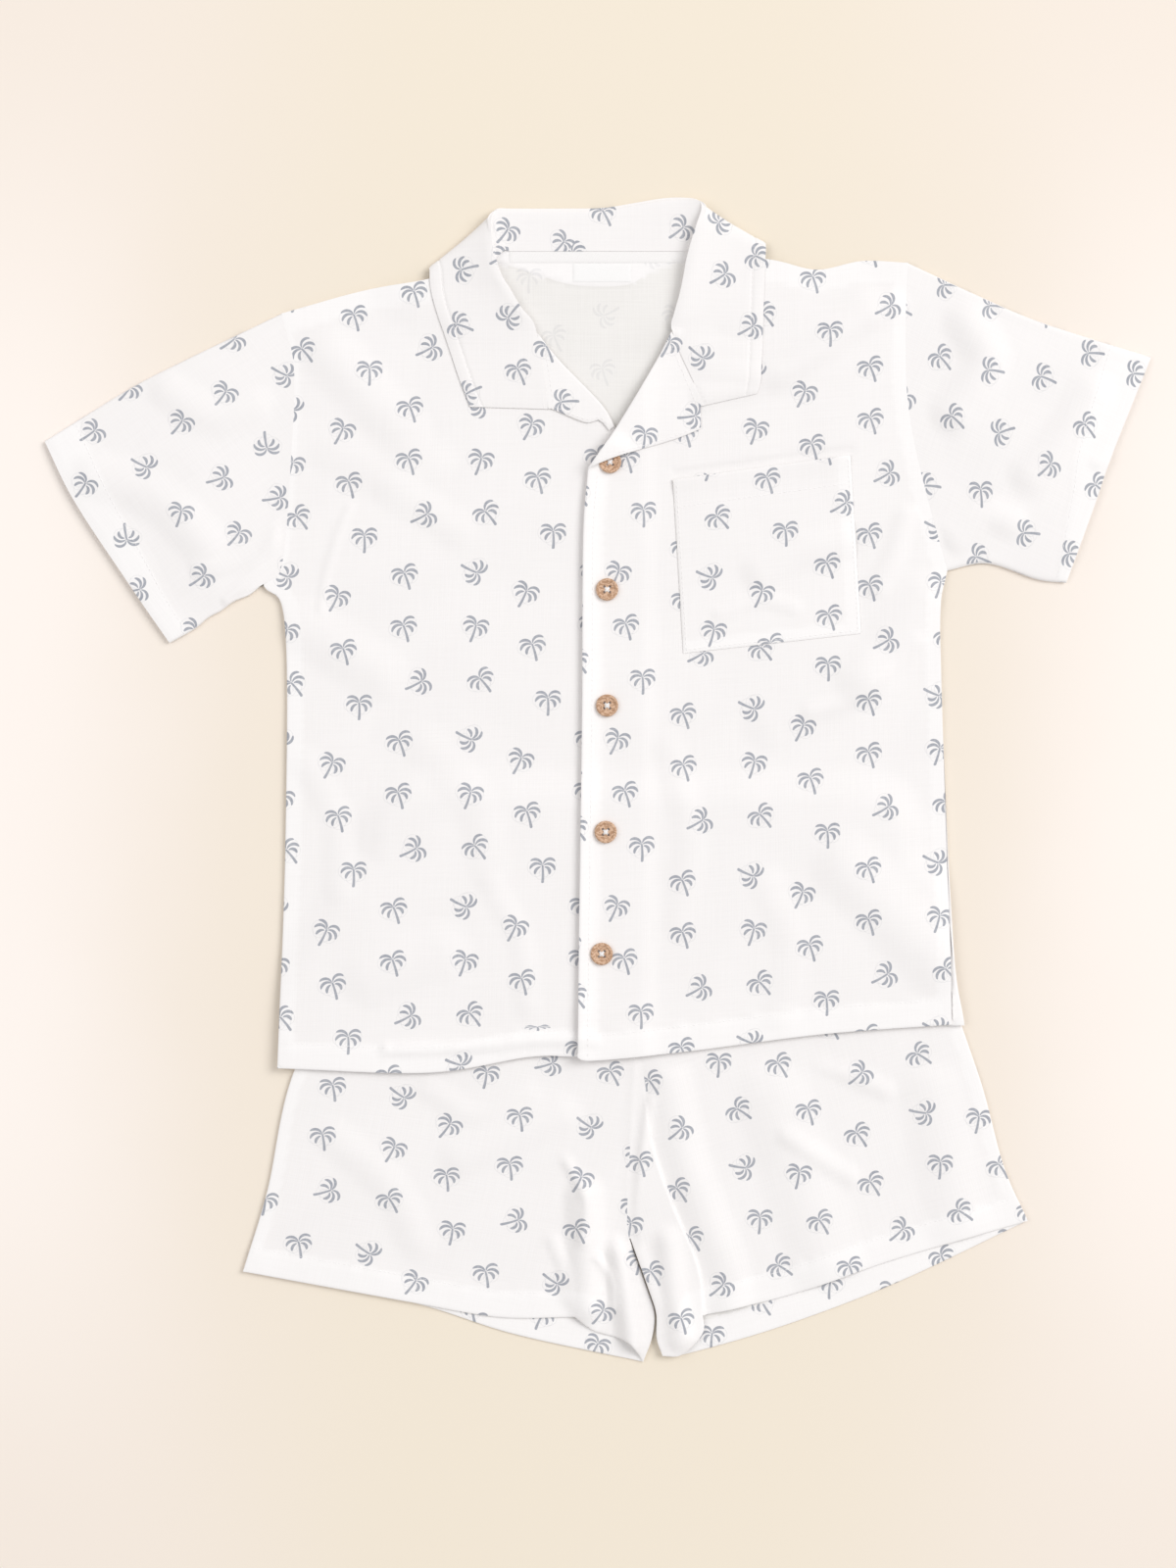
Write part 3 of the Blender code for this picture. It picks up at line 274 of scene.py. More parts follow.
# Collar, one row for each section from the right notch round the back of the neck to the left one:
# seam x, y, roll x, y, heights of the stand, the roll and the fall beside the roll, outer edge
# x, y, and whether the fall lies over the fronts (1), behind the back (0) or between them
COLLAR = [
    (-27, 213.3, -31, 213.3, 3.3, 3.3, 3.3, -73, 214.5, 1),
    (-29.5, 228, -33, 229.5, 3.4, 3.5, 3.6, -79, 230, 1),
    (-31.5, 241, -35.5, 243.5, 3.5, 3.7, 3.9, -84, 245, 1),
    (-34.5, 253, -37.5, 255.5, 3.6, 4, 4.6, -88, 257, 1),
    (-42.5, 261, -40, 263.5, 3.7, 4.6, 5.7, -91.5, 267, 1),
    (-51.5, 270, -46, 271, 4.1, 5.3, 6.8, -94, 275.5, 1),
    (-57.5, 279, -51.8, 281, 4.8, 6.2, 7.8, -95.5, 282.5, 1),
    (-60.5, 289, -57, 290, 5.2, 6.9, 8.6, -96, 287.5, 1),
    (-59, 298, -60.3, 302, 5.8, 7.8, 9, -96, 290.5, 1),
    (-55, 303, -62.2, 313, 7, 8.6, 8.6, -96, 292, 0.9),
    (-52.5, 305.4, -62.3, 320.5, 6.6, 7.4, 6.6, -96, 294, 0.5),
    (-50, 306, -59, 325.5, 5.2, 5, 3.4, -92, 290, 0),
    (-44, 306, -51, 326, 4.2, 3.2, 1.4, -76, 285, 0),
    (-33, 306, -36, 326, 3.6, 2.2, 0.7, -52, 281, 0),
    (-16, 306, -17, 326, 3.4, 2, 0.6, -26, 279, 0),
    (3, 306, 3, 326.3, 3.4, 2, 0.6, 2, 278.5, 0),
    (20, 306, 21, 329, 3.5, 2.1, 0.7, 28, 280, 0),
    (35, 306, 38, 331.7, 3.8, 2.4, 0.9, 52, 283, 0),
    (45, 306, 51, 332, 4.4, 3.4, 1.6, 74, 288, 0),
    (50.5, 306, 58, 331, 5.4, 5.2, 3.4, 91, 300, 0),
    (53, 305.6, 61, 327, 6.6, 7.4, 6.6, 95.5, 308, 0.5),
    (54, 303, 58.5, 319, 7, 8.6, 8.6, 96, 303.5, 0.9),
    (54.5, 298, 55, 309, 6, 8, 9.1, 95.8, 299.5, 1),
    (55.5, 290, 52.2, 298, 5.6, 7.3, 9, 95.5, 293, 1),
    (56, 281, 50.3, 287, 5, 6.7, 8.4, 95.2, 285, 1),
    (54.5, 272, 48.3, 277, 4.6, 6.1, 7.6, 94.9, 276, 1),
    (51, 264.5, 45.8, 267.5, 4, 5.3, 6.7, 94.6, 266, 1),
    (46, 258.5, 44.4, 260.5, 3.7, 4.6, 5.6, 94.3, 256, 1),
    (43.5, 253, 46.5, 252.5, 3.6, 4, 4.5, 94, 247, 1),
    (47.5, 243, 51, 242, 3.5, 3.7, 3.8, 93.5, 238, 1),
    (53.5, 229, 57, 228.5, 3.4, 3.5, 3.6, 93, 229, 1),
    (59.4, 214.8, 62.9, 215.7, 3.3, 3.3, 3.3, 91, 222, 1),
]
COLLAR_ROWS = 6  # drawn sections for each one in the table
STAND_POINTS, ROLL_POINTS, FALL_POINTS = 4, 13, 20
ROLL_LEAST = 0.7  # the roll's least radius
BACK_SEAM_RISE, BACK_SEAM_REACH = 1.05, 2.5  # the band's seam lies over the neck tape
COLLAR_HALF = 0.47  # half the thickness that is drawn
COLLAR_LIE = 0.62  # the middle of its cloth above the front it lies on
FRONT_SLOPE = 4  # the collar comes down from the fronts' edge over this run
COLLAR_ROUND, COLLAR_END_ROUND = 1.2, 0.7  # the first in mm, the second in sections
COLLAR_STITCH = 7.0
COLLAR_GROOVE, COLLAR_GROOVE_HALF = 0.35, 0.7
COLLAR_GROOVE_ROWS = np.array([-1.2, -0.6, 0.0, 0.6, 1.2])
COLLAR_CUT = (0.43, 0.12)  # its flat size in metres, round the neck and across

# Sleeves: armhole, upper fold, hem and underarm fold, each from the top or from the armhole
SLEEVES = {
    "sleeve_right": {
        "armhole": [(-181, 268), (-173.7, 236), (-175.7, 181), (-180.7, 124), (-191, 114)],
        "upper": [(-181, 268), (-235, 242), (-268, 225), (-316.5, 195)],
        "hem": [(-316.5, 195), (-299, 160), (-268, 113), (-245, 79.5)],
        "under": [(-191, 114), (-199, 107.2), (-208, 103.2), (-216, 97.6), (-223, 93.8),
                  (-231, 87.4), (-245, 79.5)],
    },
    "sleeve_left": {
        "armhole": [(177.5, 297), (176.05, 262), (177.15, 219.5), (184.65, 178), (200, 121)],
        "upper": [(177.5, 297), (219.5, 277.5), (254, 263), (316.5, 243)],
        "hem": [(316.5, 243), (294, 187), (284, 158), (268, 114)],
        "under": [(200, 121), (223, 125), (251, 116), (268, 114)],
    },
}
SLEEVE_ACROSS, SLEEVE_ALONG = 56, 52
ARMHOLE_RUN = 8.0  # the sleeve's height joins the front's over this run
SLEEVE_LOFT, SLEEVE_FLATTER = 1.6, 0.65
SLEEVE_RUMPLE_RUN = 20  # unevenness grows over this run from the folded sides
SLEEVE_BEND = 2.2  # how far in the folded sides are rounded
SLEEVE_EASE, SLEEVE_END = 0.35, 1.2  # how much the cut ends are rounded, and how far in
SLEEVE_INSET, SLEEVE_OPEN = 0.012, 0.05  # how far the inner face stays from the sides and middle
SLEEVE_HEM, SLEEVE_STITCH, SLEEVE_GROOVE = 15.0, 1.5, 0.25
SLEEVE_PRINT_BELOW = np.array([[37.0, 11.0]])  # how far the print of its underside is moved

BUTTONS = [(7.0, 182.8), (5.3, 110), (5.3, 43.7), (4.5, -28.5), (2.2, -98)]
BUTTON_RADIUS, BUTTON_THICKNESS = 6.35, 2.2
BUTTON_DISH, BUTTON_RIM, DISH_SLOPE = 0.6, 1.3, 0.7
TOP_ROUND, FOOT_ROUND, FOOT_RUN = 0.55, 0.5, 1.2
BUTTON_SPOKES, HOLE_SPOKES = 64, 18
BUTTON_GRID, BUTTON_RINGS = 0.42, (0.12, 0.3, 0.6, 1.0)
HOLE_RADIUS, HOLE_PITCH = 0.8, 1.55
# Its thread: radius, reach from the middle, how deep it starts, how high it rises, its strands
BUTTON_THREAD, THREAD_REACH = 0.17, HOLE_PITCH * 0.92
THREAD_SINK, THREAD_RISE = 0.9, 1.3
STRANDS = (-0.36, -0.12, 0.12, 0.36)

# Shorts: heights at the centre seam, and the folded strip beside the left leg's pleat
CENTRE_RUN, CENTRE_RIDGE, CENTRE_RIDGE_HALF, INSEAM_SHARE = 9.0, 0.45, 2.2, 0.35
CREASE_START_Y, CREASE_START_RUN = -157.0, 12.0
STRIP_FOLD = [(23.5, -156), (30, -205.5), (42, -242), (57, -279), (60, -315)]
STRIP_RISE, STRIP_EDGE = 1.8, 1.8
STRIP_START_Y, STRIP_START_RUN = -158.0, 66.0
STRIP_HIDDEN = 7.0
STRIP_ROWS = (-0.3, 0.0, 0.35, 0.7, 1.0, 1.4)
WAIST_LEFT_X, WAIST_RIGHT_X = -102.0, 152.0
WAIST_LOW_Y, WAIST_HIGH_Y = -55.0, -30.0
WAIST_HEIGHT, WAIST_OPEN = 2.7, 0.04
WAIST_STEP, WAIST_ROWS = 1.2, 10
RIPPLE, RIPPLE_PITCH = 0.16, 5.2
WAIST_INSET, WAIST_SINK = 1.0, 0.2
# The solids were moved by this much along y after they were made
SHIFT_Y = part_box("waistband")[0].y / MM - WAIST_LOW_Y

# The print: a palm's fronds as arcs through three points, and their half widths
FRONDS = [
    ((-0.2, 2.9), (-3, 6.1), (-6.9, 5.5), 0.80),
    ((-0.5, 2.6), (-4.2, 3.8), (-7, 0.8), 0.84),
    ((-0.9, 1.9), (-3.4, 0.5), (-4.1, -2.3), 0.84),
    ((0.4, 3.2), (3.3, 6.4), (7, 4.8), 0.80),
    ((0.6, 2.7), (4.3, 3.4), (6.9, -0.3), 0.84),
    ((1, 1.8), (3.7, 0.4), (3.7, -2.5), 0.86),
]
TRUNK_TOP, TRUNK_FOOT = (0, 2.5), (0.3, -6.6)
TRUNK_NARROW, TRUNK_WIDE = 0.52, 0.80

# Palms in one repeat of the print: x, y and how far the trunk turns clockwise from straight
# down, in degrees
TILE = (106.4, 95.8)
TILE_PALMS = [
    (-62.3, 19.7, 0), (-30, 32.7, 66), (7.2, 32.5, -37), (-38.2, -2.3, -18), (28.9, -14, 27),
    (-0.8, 1.1, 119), (-37.9, -32.3, -16), (35, -44.8, -15), (1.4, -33.1, 19),
]
# Palms on the collar and lapels, which lie at many angles
COLLAR_PALMS = [
    (-75, 292.9, -100), (-77.8, 260.4, -68), (-49.3, 267.1, -138), (-72.8, 222.9, -113),
    (-44.8, 233.5, -22), (-53.2, 313.6, 40), (-55.5, 299, 60), (-21.3, 306.8, 45),
    (-12.5, 300.5, -40), (3.9, 324.2, -25), (46.5, 315.3, 55), (70, 288.4, 60),
    (86.2, 259.3, 62), (57.7, 244.2, 130), (39.6, 249, 30), (71.5, 321, -125),
    (92.5, 299, -60), (-17.9, 217.3, -90), (-28.5, 246.5, -20), (52.6, 209, 85), (26.5, 196, 10),
]
# Where the repeat lies on each panel: the place of its middle palm, then one repeat across and
# one up, which the cloth's pull has skewed a little
GRAIN = {
    "shirt_front_right": ((-71, 120), (108, 2.5), (3, 95.5)),
    "shirt_front_left": ((87.5, 42), (106, 7.5), (0.5, 95.5)),
    "pocket": ((63.5, 117), (106.5, 12.5), (-2, 94.5)),
    "shirt_back": ((5, 267), (106.5, 0), (0, 96)),
    "sleeve_right": ((-190, 192.5), (62.5, -83), (80, 52.5)),
    "sleeve_left": ((257.5, 180), (37, 103), (-82.5, 39)),
    "shorts_front_right": ((-112.5, -180), (107, -17), (19.5, 89.5)),
    "shorts_front_left": ((83, -221), (103, 31.5), (-23.5, 89.5)),
    "shorts_back_right": ((-65.5, -269.5), (105.5, -15), (13.5, 95)),
    "shorts_back_left": ((88.5, -266.5), (103, 25.5), (-23, 93)),
    "waistband": ((20, -45), (106.5, 0), (0, 96)),
}
FROND_TAPER, FROND_LEAN = 0.55, 0.22
TRUNK_BEND = 0.9
INK_BLUR = 0.16

# Colours
SINGLE_LIGHT, SINGLE_DARK = (0.912, 0.887, 0.878, 1), (0.881, 0.856, 0.847, 1)
DOUBLE_LIGHT, DOUBLE_DARK = (0.943, 0.923, 0.915, 1), (0.916, 0.894, 0.886, 1)
# Painted shade: the wrong side of the cloth gets these darker, warmer colours as its ground
SHADED_LIGHT, SHADED_DARK = (0.869, 0.849, 0.825, 1), (0.826, 0.805, 0.780, 1)
INK, INK_PALE = (0.310, 0.328, 0.378, 1), (0.42, 0.435, 0.475, 1)
WOOD_DARK, WOOD_LIGHT = (0.43, 0.245, 0.14, 1), (0.74, 0.50, 0.345, 1)
# Floor paper: the middle colour is painted shade and the bright colour is painted light
FLOOR_MIDDLE_PAINTED_SHADE = (0.862, 0.776, 0.648, 1)
FLOOR_OUTER = (0.885, 0.798, 0.715, 1)
FLOOR_PAINTED_LIGHT = (0.960, 0.890, 0.835, 1)
THREAD_PITCH = (0.62, 0.7)  # of the weave
WOOD_ACROSS, WOOD_RINGS, WOOD_SWIRL = (0.35, 1.0, 0.0), 1.9, 34.0

# Sheets: piece, how it lies, what it rests on, and how many layers of the cut its outline covers
SHEETS = [
    ("shirt_back", "laid", "shorts_front_right shorts_front_left waistband", 1),
    ("shirt_front_right", "laid", "shirt_back", 1),
    ("shirt_front_left", "laid", "shirt_back shirt_front_right", 1),
    ("sleeve_right", "laid", "shirt_back", 2),
    ("sleeve_left", "laid", "shirt_back", 2),
    ("collar", "folded", "shirt_back shirt_front_right shirt_front_left", 1),
    ("facing_right", "folded", "shirt_front_right", 1),
    ("facing_left", "folded", "shirt_front_left", 1),
    ("pocket", "laid", "shirt_front_left", 1),
    ("neck_tape", "laid", "shirt_back", 1),
    ("neck_label", "laid", "shirt_back", 1),
    ("shorts_back_right", "laid", "shorts_back_left", 1),
    ("shorts_back_left", "laid", "shorts_back_right", 1),
    ("shorts_front_right", "laid", "shorts_back_right", 1),
    ("shorts_front_left", "laid", "shorts_back_left", 1),
    ("waistband", "laid", "shorts_back_right shorts_back_left", 2),
]
LEAST_LENGTH = 0.01  # in metres
LEAST_SHARE = 0.3  # of the cut's rectangle
# Lights: name, place and size in metres, power in watts
LIGHTS = (("key", (4.8, 2.4, 5.0), 4.2, 310.0), ("fill", (-3.2, 0.6, 4.0), 3.0, 48.0))
PHOTO_HIGH = 896.0  # what the photograph covers on the table, from top to bottom
PHOTO_X, PHOTO_Y = -5.6, -1.12  # the middle of the photograph
CAMERA_HEIGHT = 1.8  # in metres


def smooth(t):
    t = np.clip(t, 0.0, 1.0)
    return t * t * (3 - 2 * t)


def bell(t):
    return np.exp(-(t**2))


def rounding(share):
    """The drop of a rounded edge: 1 at the edge itself, 0 from share 1 inwards."""
    return 1 - np.sqrt(1 - np.clip(1 - share, 0, 1) ** 2)


def spline(points, t):
    """Points at t, from 0 to 1 along a smooth curve through the points."""
    p = np.asarray(points, float)
    p = np.vstack([2 * p[0] - p[1], p, 2 * p[-1] - p[-2]])
    spans = len(p) - 3
    t = np.atleast_1d(np.asarray(t, float)) * spans
    k = np.minimum(t.astype(int), spans - 1)
    f = (t - k)[:, None]
    a, b, c, d = p[k], p[k + 1], p[k + 2], p[k + 3]
    return 0.5 * (2 * b + (c - a) * f + (2 * a - 5 * b + 4 * c - d) * f**2
                  + (3 * b - a - 3 * c + d) * f**3)


def resampled(line, step):
    """The line with points at even steps."""
    line = np.asarray(line, float)
    run = np.concatenate([[0], np.cumsum(np.hypot(*np.diff(line, axis=0).T))])
    at = np.linspace(0, run[-1], max(1, round(run[-1] / step)) + 1)
    return np.stack([np.interp(at, run, line[:, k]) for k in (0, 1)], 1)


def curve(points, step=EDGE_STEP):
    spans = len(points) - 1
    fine = spline(points, np.linspace(0, 1, CURVE_FINE * spans + 1)) if spans > 1 else points
    return resampled(fine, step)


def edge(name, step=EDGE_STEP):
    return curve(EDGES[name], step)


def apart(p, q):
    return np.hypot(*(p - q))


def chained(panel):
    """One closed outline from the panel's edges, each turned to start where the last one ends."""
    parts = [edge(name) for name in PANELS[panel].split()]
    first, second = parts[:2]
    if min(apart(first[0], p) for p in second[[0, -1]]) < min(
        apart(first[-1], p) for p in second[[0, -1]]
    ):
        parts[0] = first[::-1]
    outline = list(parts[0])
    for part in parts[1:]:
        if apart(outline[-1], part[-1]) < apart(outline[-1], part[0]):
            part = part[::-1]
        outline += list(part[1:] if apart(outline[-1], part[0]) < SAME_POINT else part)
    if apart(outline[0], outline[-1]) < SAME_POINT:
        outline.pop()
    x, y = np.array(outline).T
    turn = np.sum(x * np.roll(y, -1) - np.roll(x, -1) * y)
    return np.array(outline if turn > 0 else outline[::-1])


def by_parts(rule, x, y, size=4096):
    """The rule's results, worked out for a few thousand points at a time to save memory."""
    x, y = np.asarray(x, float), np.asarray(y, float)
    parts = [rule(x[i:i + size], y[i:i + size]) for i in range(0, len(x), size)]
    return np.concatenate(parts) if parts else np.zeros(0)


def inside(x, y, outline):
    x0, y0 = outline.T
    x1, y1 = np.roll(outline, -1, 0).T
    slope = (x1 - x0) / np.where(y1 == y0, TINY, y1 - y0)

    def rule(px, py):
        over = (y0 > py[:, None]) != (y1 > py[:, None])
        return (over & (px[:, None] < x0 + (py[:, None] - y0) * slope)).sum(1) % 2 == 1

    return by_parts(rule, x, y).astype(bool)


def beside(x, y, line, closed=False):
    """For each point: its distance to the line, how far along that is in mm, and its side."""
    line = np.asarray(line, float)
    start = line if closed else line[:-1]
    step = (np.roll(line, -1, 0) if closed else line[1:]) - start
    long = np.hypot(*step.T)
    run = np.concatenate([[0], np.cumsum(long)[:-1]])

    def rule(px, py):
        dx, dy = px[:, None] - start[:, 0], py[:, None] - start[:, 1]
        t = np.clip((dx * step[:, 0] + dy * step[:, 1]) / (long**2 + TINY_LENGTH), 0, 1)
        away = np.hypot(dx - t * step[:, 0], dy - t * step[:, 1])
        k = away.argmin(1)
        i = np.arange(len(px))
        side = step[k, 0] * dy[i, k] - step[k, 1] * dx[i, k]
        return np.stack([away[i, k], run[k] + t[i, k] * long[k], np.sign(side)], 1)

    return by_parts(rule, x, y).reshape(-1, 3).T


def near(x, y, line, closed=False):
    return beside(x, y, line, closed)[0]


def signed(x, y, line):
    """The distance to the line, below zero on its right."""
    away, _, side = beside(x, y, line)
    return np.where(side < 0, -away, away)


def shifted(line, distance):
    """The same line, moved sideways to the right of its direction."""
    line = np.asarray(line, float)
    way = np.gradient(line, axis=0)
    way /= np.hypot(*way.T)[:, None]
    return line + distance * np.stack([way[:, 1], -way[:, 0]], 1)


def direction(vectors):
    return vectors / (np.linalg.norm(vectors, axis=-1, keepdims=True) + TINY_LENGTH)


def uneven(x, y, size, layer=0):
    """Soft unevenness from -1 to 1, with hills about this size."""
    table = SEEDED[layer]
    i, j = np.floor(x / size).astype(int), np.floor(y / size).astype(int)
    s, t = smooth(x / size - i), smooth(y / size - j)
    count = len(table)
    i0, j0, i1, j1 = i % count, j % count, (i + 1) % count, (j + 1) % count
    low = table[i0, j0] * (1 - s) + table[i1, j0] * s
    high = table[i0, j1] * (1 - s) + table[i1, j1] * s
    return low * (1 - t) + high * t


def creases(panel, x, y):
    """Height of the panel's folds and creases above its flat lie."""
    total = np.zeros_like(x)
    for half, height, crest in CREASES.get(panel, ()):
        share = np.clip(near(x, y, curve(crest, CREASE_STEP)) / half, 0, 1)
        total += DRAWN_HIGHER * height * (1 - share**2) ** 2
    return total


def crease_rows(panel):
    """Rows of points along the narrow creases of a panel."""
    rows = [np.zeros((0, 2))]
    for half, _, crest in CREASES[panel]:
        if half < FINE_CREASE:
            line = curve(crest, CREASE_ROW_STEP)
            rows += [shifted(line, half * share) for share in CREASE_ROWS]
    return np.vstack(rows)


def doubled_cloth(panel, x, y):
    """1 where the cloth lies double, 0 where it is single."""
    share = np.zeros_like(x)
    for name, width in DOUBLED.get(panel, ()):
        inward = near(x, y, edge(name)) - width
        share = np.maximum(share, 1 - smooth((inward + DOUBLED_BLUR / 2) / DOUBLED_BLUR))
    return share


def rumpled(x, y):
    """Small unevenness of cloth that lies on a table, never below zero."""
    hills = uneven(x, y, LARGE_HILL) + 0.5 * uneven(x + 19, y - 7, SMALL_HILL, 1)
    return RUMPLE * 0.5 * (hills + 1.5) / 1.5


# Layers of the shirt
def over(outline, height):
    """Height of cloth that lies over something with this outline and slopes down around it."""
    def rule(x, y):
        away = np.where(inside(x, y, outline), 0.0, near(x, y, outline, True))
        return height * (1 - smooth((away - RAMP_REACH) / RAMP_RUN))

    return rule


behind_neck = [row for row in COLLAR if row[9] <= 0.5]
OVER_FALL = over(
    np.array([row[7:9] for row in behind_neck] + [row[2:4] for row in behind_neck[::-1]], float),
    FALL_CLEARANCE)
OVER_SHORTS = over(
    np.vstack([[(WAIST_LEFT_X, WAIST_HIGH_Y)], edge("shorts_side_right", COARSE_STEP),
               edge("shorts_side_left", COARSE_STEP)[::-1], [(WAIST_RIGHT_X, WAIST_HIGH_Y)]]),
    SHORTS_CLEARANCE)


def back_low(x, y):
    return np.maximum(OVER_SHORTS(x, y), OVER_FALL(x, y))


def overlap(x, y):
    """How far the left front is lifted by the right one under it."""
    rise = LAYER + HEM_RISE * smooth((OVERLAP_HEM_Y - y) / OVERLAP_RUN)
    return rise * (1 - smooth((x - OVERLAP_END_X) / OVERLAP_RUN))


def front_low(name, x, y):
    height = back_low(x, y) + LAYER + creases("shirt_front_right", x, y) + rumpled(x, y)
    if name == "shirt_front_left":
        border = np.vstack([edge("placket"), edge("roll_left")[::-1]])
        lift = PLACKET_LIFT * bell(near(x, y, border) / PLACKET_REACH)
        height = height + overlap(x, y) + creases(name, x, y) + lift
    return height


def front_top(x, y):
    left = x >= 0
    top = np.empty_like(x)
    for name, part in (("shirt_front_right", ~left), ("shirt_front_left", left)):
        if part.any():
            top[part] = front_low(name, x[part], y[part]) + CLOTH
    return top


def band(border, x, y):
    """A turned-up hem: a raised band along the edge, with the dip and puckers of its stitching."""
    away, along, _ = beside(x, y, border)
    raised = HEM_RISE * (1 - smooth((away - HEM_BAND + BAND_START) / BAND_SLOPE))
    groove = HEM_GROOVE * bell((away - HEM_STITCH) / GROOVE_HALF)
    puckers = uneven(along, np.full_like(along, PUCKER_ROW), PUCKER_SIZE, 3)
    puckers = puckers * bell((away - HEM_BAND + PUCKER_AT) / PUCKER_HALF)
    return raised - groove + PUCKER * puckers


# Cloth meshes
def filled(outline, step, rings, holes, rows):
    """Points and triangles that fill the outline, with rows of points beside its edge."""
    points = [outline, *holes]
    joins, first = [], 0
    for loop in points:
        joins += [(first + i, first + (i + 1) % len(loop)) for i in range(len(loop))]
        first += len(loop)
    way = np.roll(outline, -1, 0) - np.roll(outline, 1, 0)
    way /= np.hypot(*way.T)[:, None]
    inward = np.stack([-way[:, 1], way[:, 0]], 1)

    def well_inside(candidates, margin):
        kept = inside(*candidates.T, outline) & (near(*candidates.T, outline, True) > margin)
        return candidates[kept]

    points += [well_inside(outline + inward * ring, RING_SHARE * ring) for ring in rings]
    low, high = outline.min(0), outline.max(0)
    i, j = np.meshgrid(*(np.arange(math.floor(a / step), math.ceil(b / step) + 1)
                         for a, b in zip(low, high)))
    field = np.stack([(i + 0.5 * (j % 2)).ravel() * step, j.ravel() * step], 1)
    margin = rings[-1] + step * FIELD_MARGIN
    field = well_inside(field, margin)
    for loop in holes:
        field = field[~inside(*field.T, loop)]
        field = field[near(*field.T, loop, True) > step * HOLE_MARGIN]
    if rows is not None and len(rows):
        rows = well_inside(rows, margin)
        close = [np.hypot(*(rows - p).T).min() < ROW_MARGIN for p in field]
        field = field[~np.array(close)]
        points.append(rows)
    points.append(field)
    corners = [Vector(p) for p in np.vstack(points)]
    found, _, faces, _, _, _ = delaunay_2d_cdt(corners, joins, [], 0, 1e-4)
    xy = np.array([(p.x, p.y) for p in found])
    faces = np.array([face for face in faces if len(face) == 3])
    middle = xy[faces].mean(1)
    kept = inside(*middle.T, outline)
    for loop in holes:
        kept &= ~inside(*middle.T, loop)
    faces = faces[kept]
    a, b, c = (xy[faces[:, k]].T for k in range(3))
    turned = (b[0] - a[0]) * (c[1] - a[1]) - (c[0] - a[0]) * (b[1] - a[1]) < 0
    faces[turned] = faces[turned][:, ::-1]
    return xy, faces


def rim_of(faces):
    """Edges that only one triangle has, in the direction of that triangle."""
    edges = np.concatenate([faces[:, [0, 1]], faces[:, [1, 2]], faces[:, [2, 0]]]).tolist()
    seen = {tuple(e) for e in edges}
    return np.array([e for e in edges if (e[1], e[0]) not in seen])


def new_mesh(name, points, faces, materials, slots=None, flat=None, doubled=None):
    """A mesh object from points in mm, with each point's place on the flat cloth."""
    mesh = bpy.data.meshes.new(name)
    points = np.asarray(points, float) * MM
    points[:, 1] += SHIFT_Y * MM
    mesh.from_pydata(points.tolist(), [], [list(map(int, f)) for f in faces])
    for material in materials:
        mesh.materials.append(material)
    if slots is not None:
        mesh.polygons.foreach_set("material_index", np.asarray(slots, np.int32))
    mesh.polygons.foreach_set("use_smooth", np.ones(len(mesh.polygons), bool))
    if doubled is not None:
        shares = mesh.attributes.new("Doubled", "FLOAT", "POINT").data
        shares.foreach_set("value", np.full(len(points), doubled, np.float32))
    if flat is not None:
        mesh.set_sharp_from_angle(angle=RIM_ANGLE)
        layer = mesh.uv_layers.new(name="Cloth")
        corners = np.concatenate([np.asarray(f) for f in faces])
        layer.uv.foreach_set("vector", (np.asarray(flat[corners], np.float32) * MM).ravel())
    mesh.update()
    obj = bpy.data.objects.new(name, mesh)
    bpy.context.scene.collection.objects.link(obj)
    return obj


def on_grain(panel, x, y, mirrored=False):
    """Where points of a laid panel lie in the print's repeat, in mm."""
    (at_x, at_y), (ax, ay), (ux, uy) = GRAIN[panel]
    dx, dy = x - at_x, y - at_y
    area = ax * uy - ay * ux
    across, up = (dx * uy - dy * ux) / area, (ax * dy - ay * dx) / area
    return np.stack([across * (-TILE[0] if mirrored else TILE[0]), up * TILE[1]], 1)


def plan_place(x, y):
    return np.stack([x, y], 1)


def slab(name, outline, low, high, materials, flat, top_slot=None, soft=EDGE_DROP, step=GRID,
         rings=RINGS, holes=(), seams=(), rows=None, doubled=None):
    """A closed piece of cloth over the outline, with rounded edges, less so along its seams."""
    xy, faces = filled(outline, step, rings, holes, rows)
    x, y = xy.T
    count = len(xy)
    away = near(x, y, outline, True)
    for loop in holes:
        away = np.minimum(away, near(x, y, loop, True))
    drop = soft * rounding(away / SOFT_RUN)
    for seam in seams:
        drop *= SEAM_SOFT + (1 - SEAM_SOFT) * smooth(near(x, y, edge(seam)) / SEAM_RUN)
    points = np.vstack([np.column_stack([x, y, low(x, y) + drop]),
                        np.column_stack([x, y, high(x, y) - drop])])
    rim = rim_of(faces)
    walls = np.column_stack([rim[:, 0], rim[:, 1], rim[:, 1] + count, rim[:, 0] + count])
    tops = np.zeros(len(faces), int) if top_slot is None else top_slot(*xy[faces].mean(1).T)
    slots = np.concatenate([tops, np.ones(len(faces), int), np.zeros(len(walls), int)])
    if callable(doubled):
        doubled = np.tile(doubled(x, y), 2)
    return new_mesh(name, points, [*(faces + count), *faces[:, ::-1], *walls], materials, slots,
                    np.tile(flat(x, y), (2, 1)), doubled)


# Shader nodes
def new_node(tree, kind, inputs, output=0, **settings):
    """A node with its settings and inputs, each a constant or a Signal. Returns one output."""
    node = tree.nodes.new("ShaderNode" + kind)
    for name, value in settings.items():
        setattr(node, name, value)
    for name, value in inputs.items():
        if isinstance(value, Signal):
            tree.links.new(value.socket, node.inputs[name])
        else:
            node.inputs[name].default_value = value
    return Signal(tree, node.outputs[output])


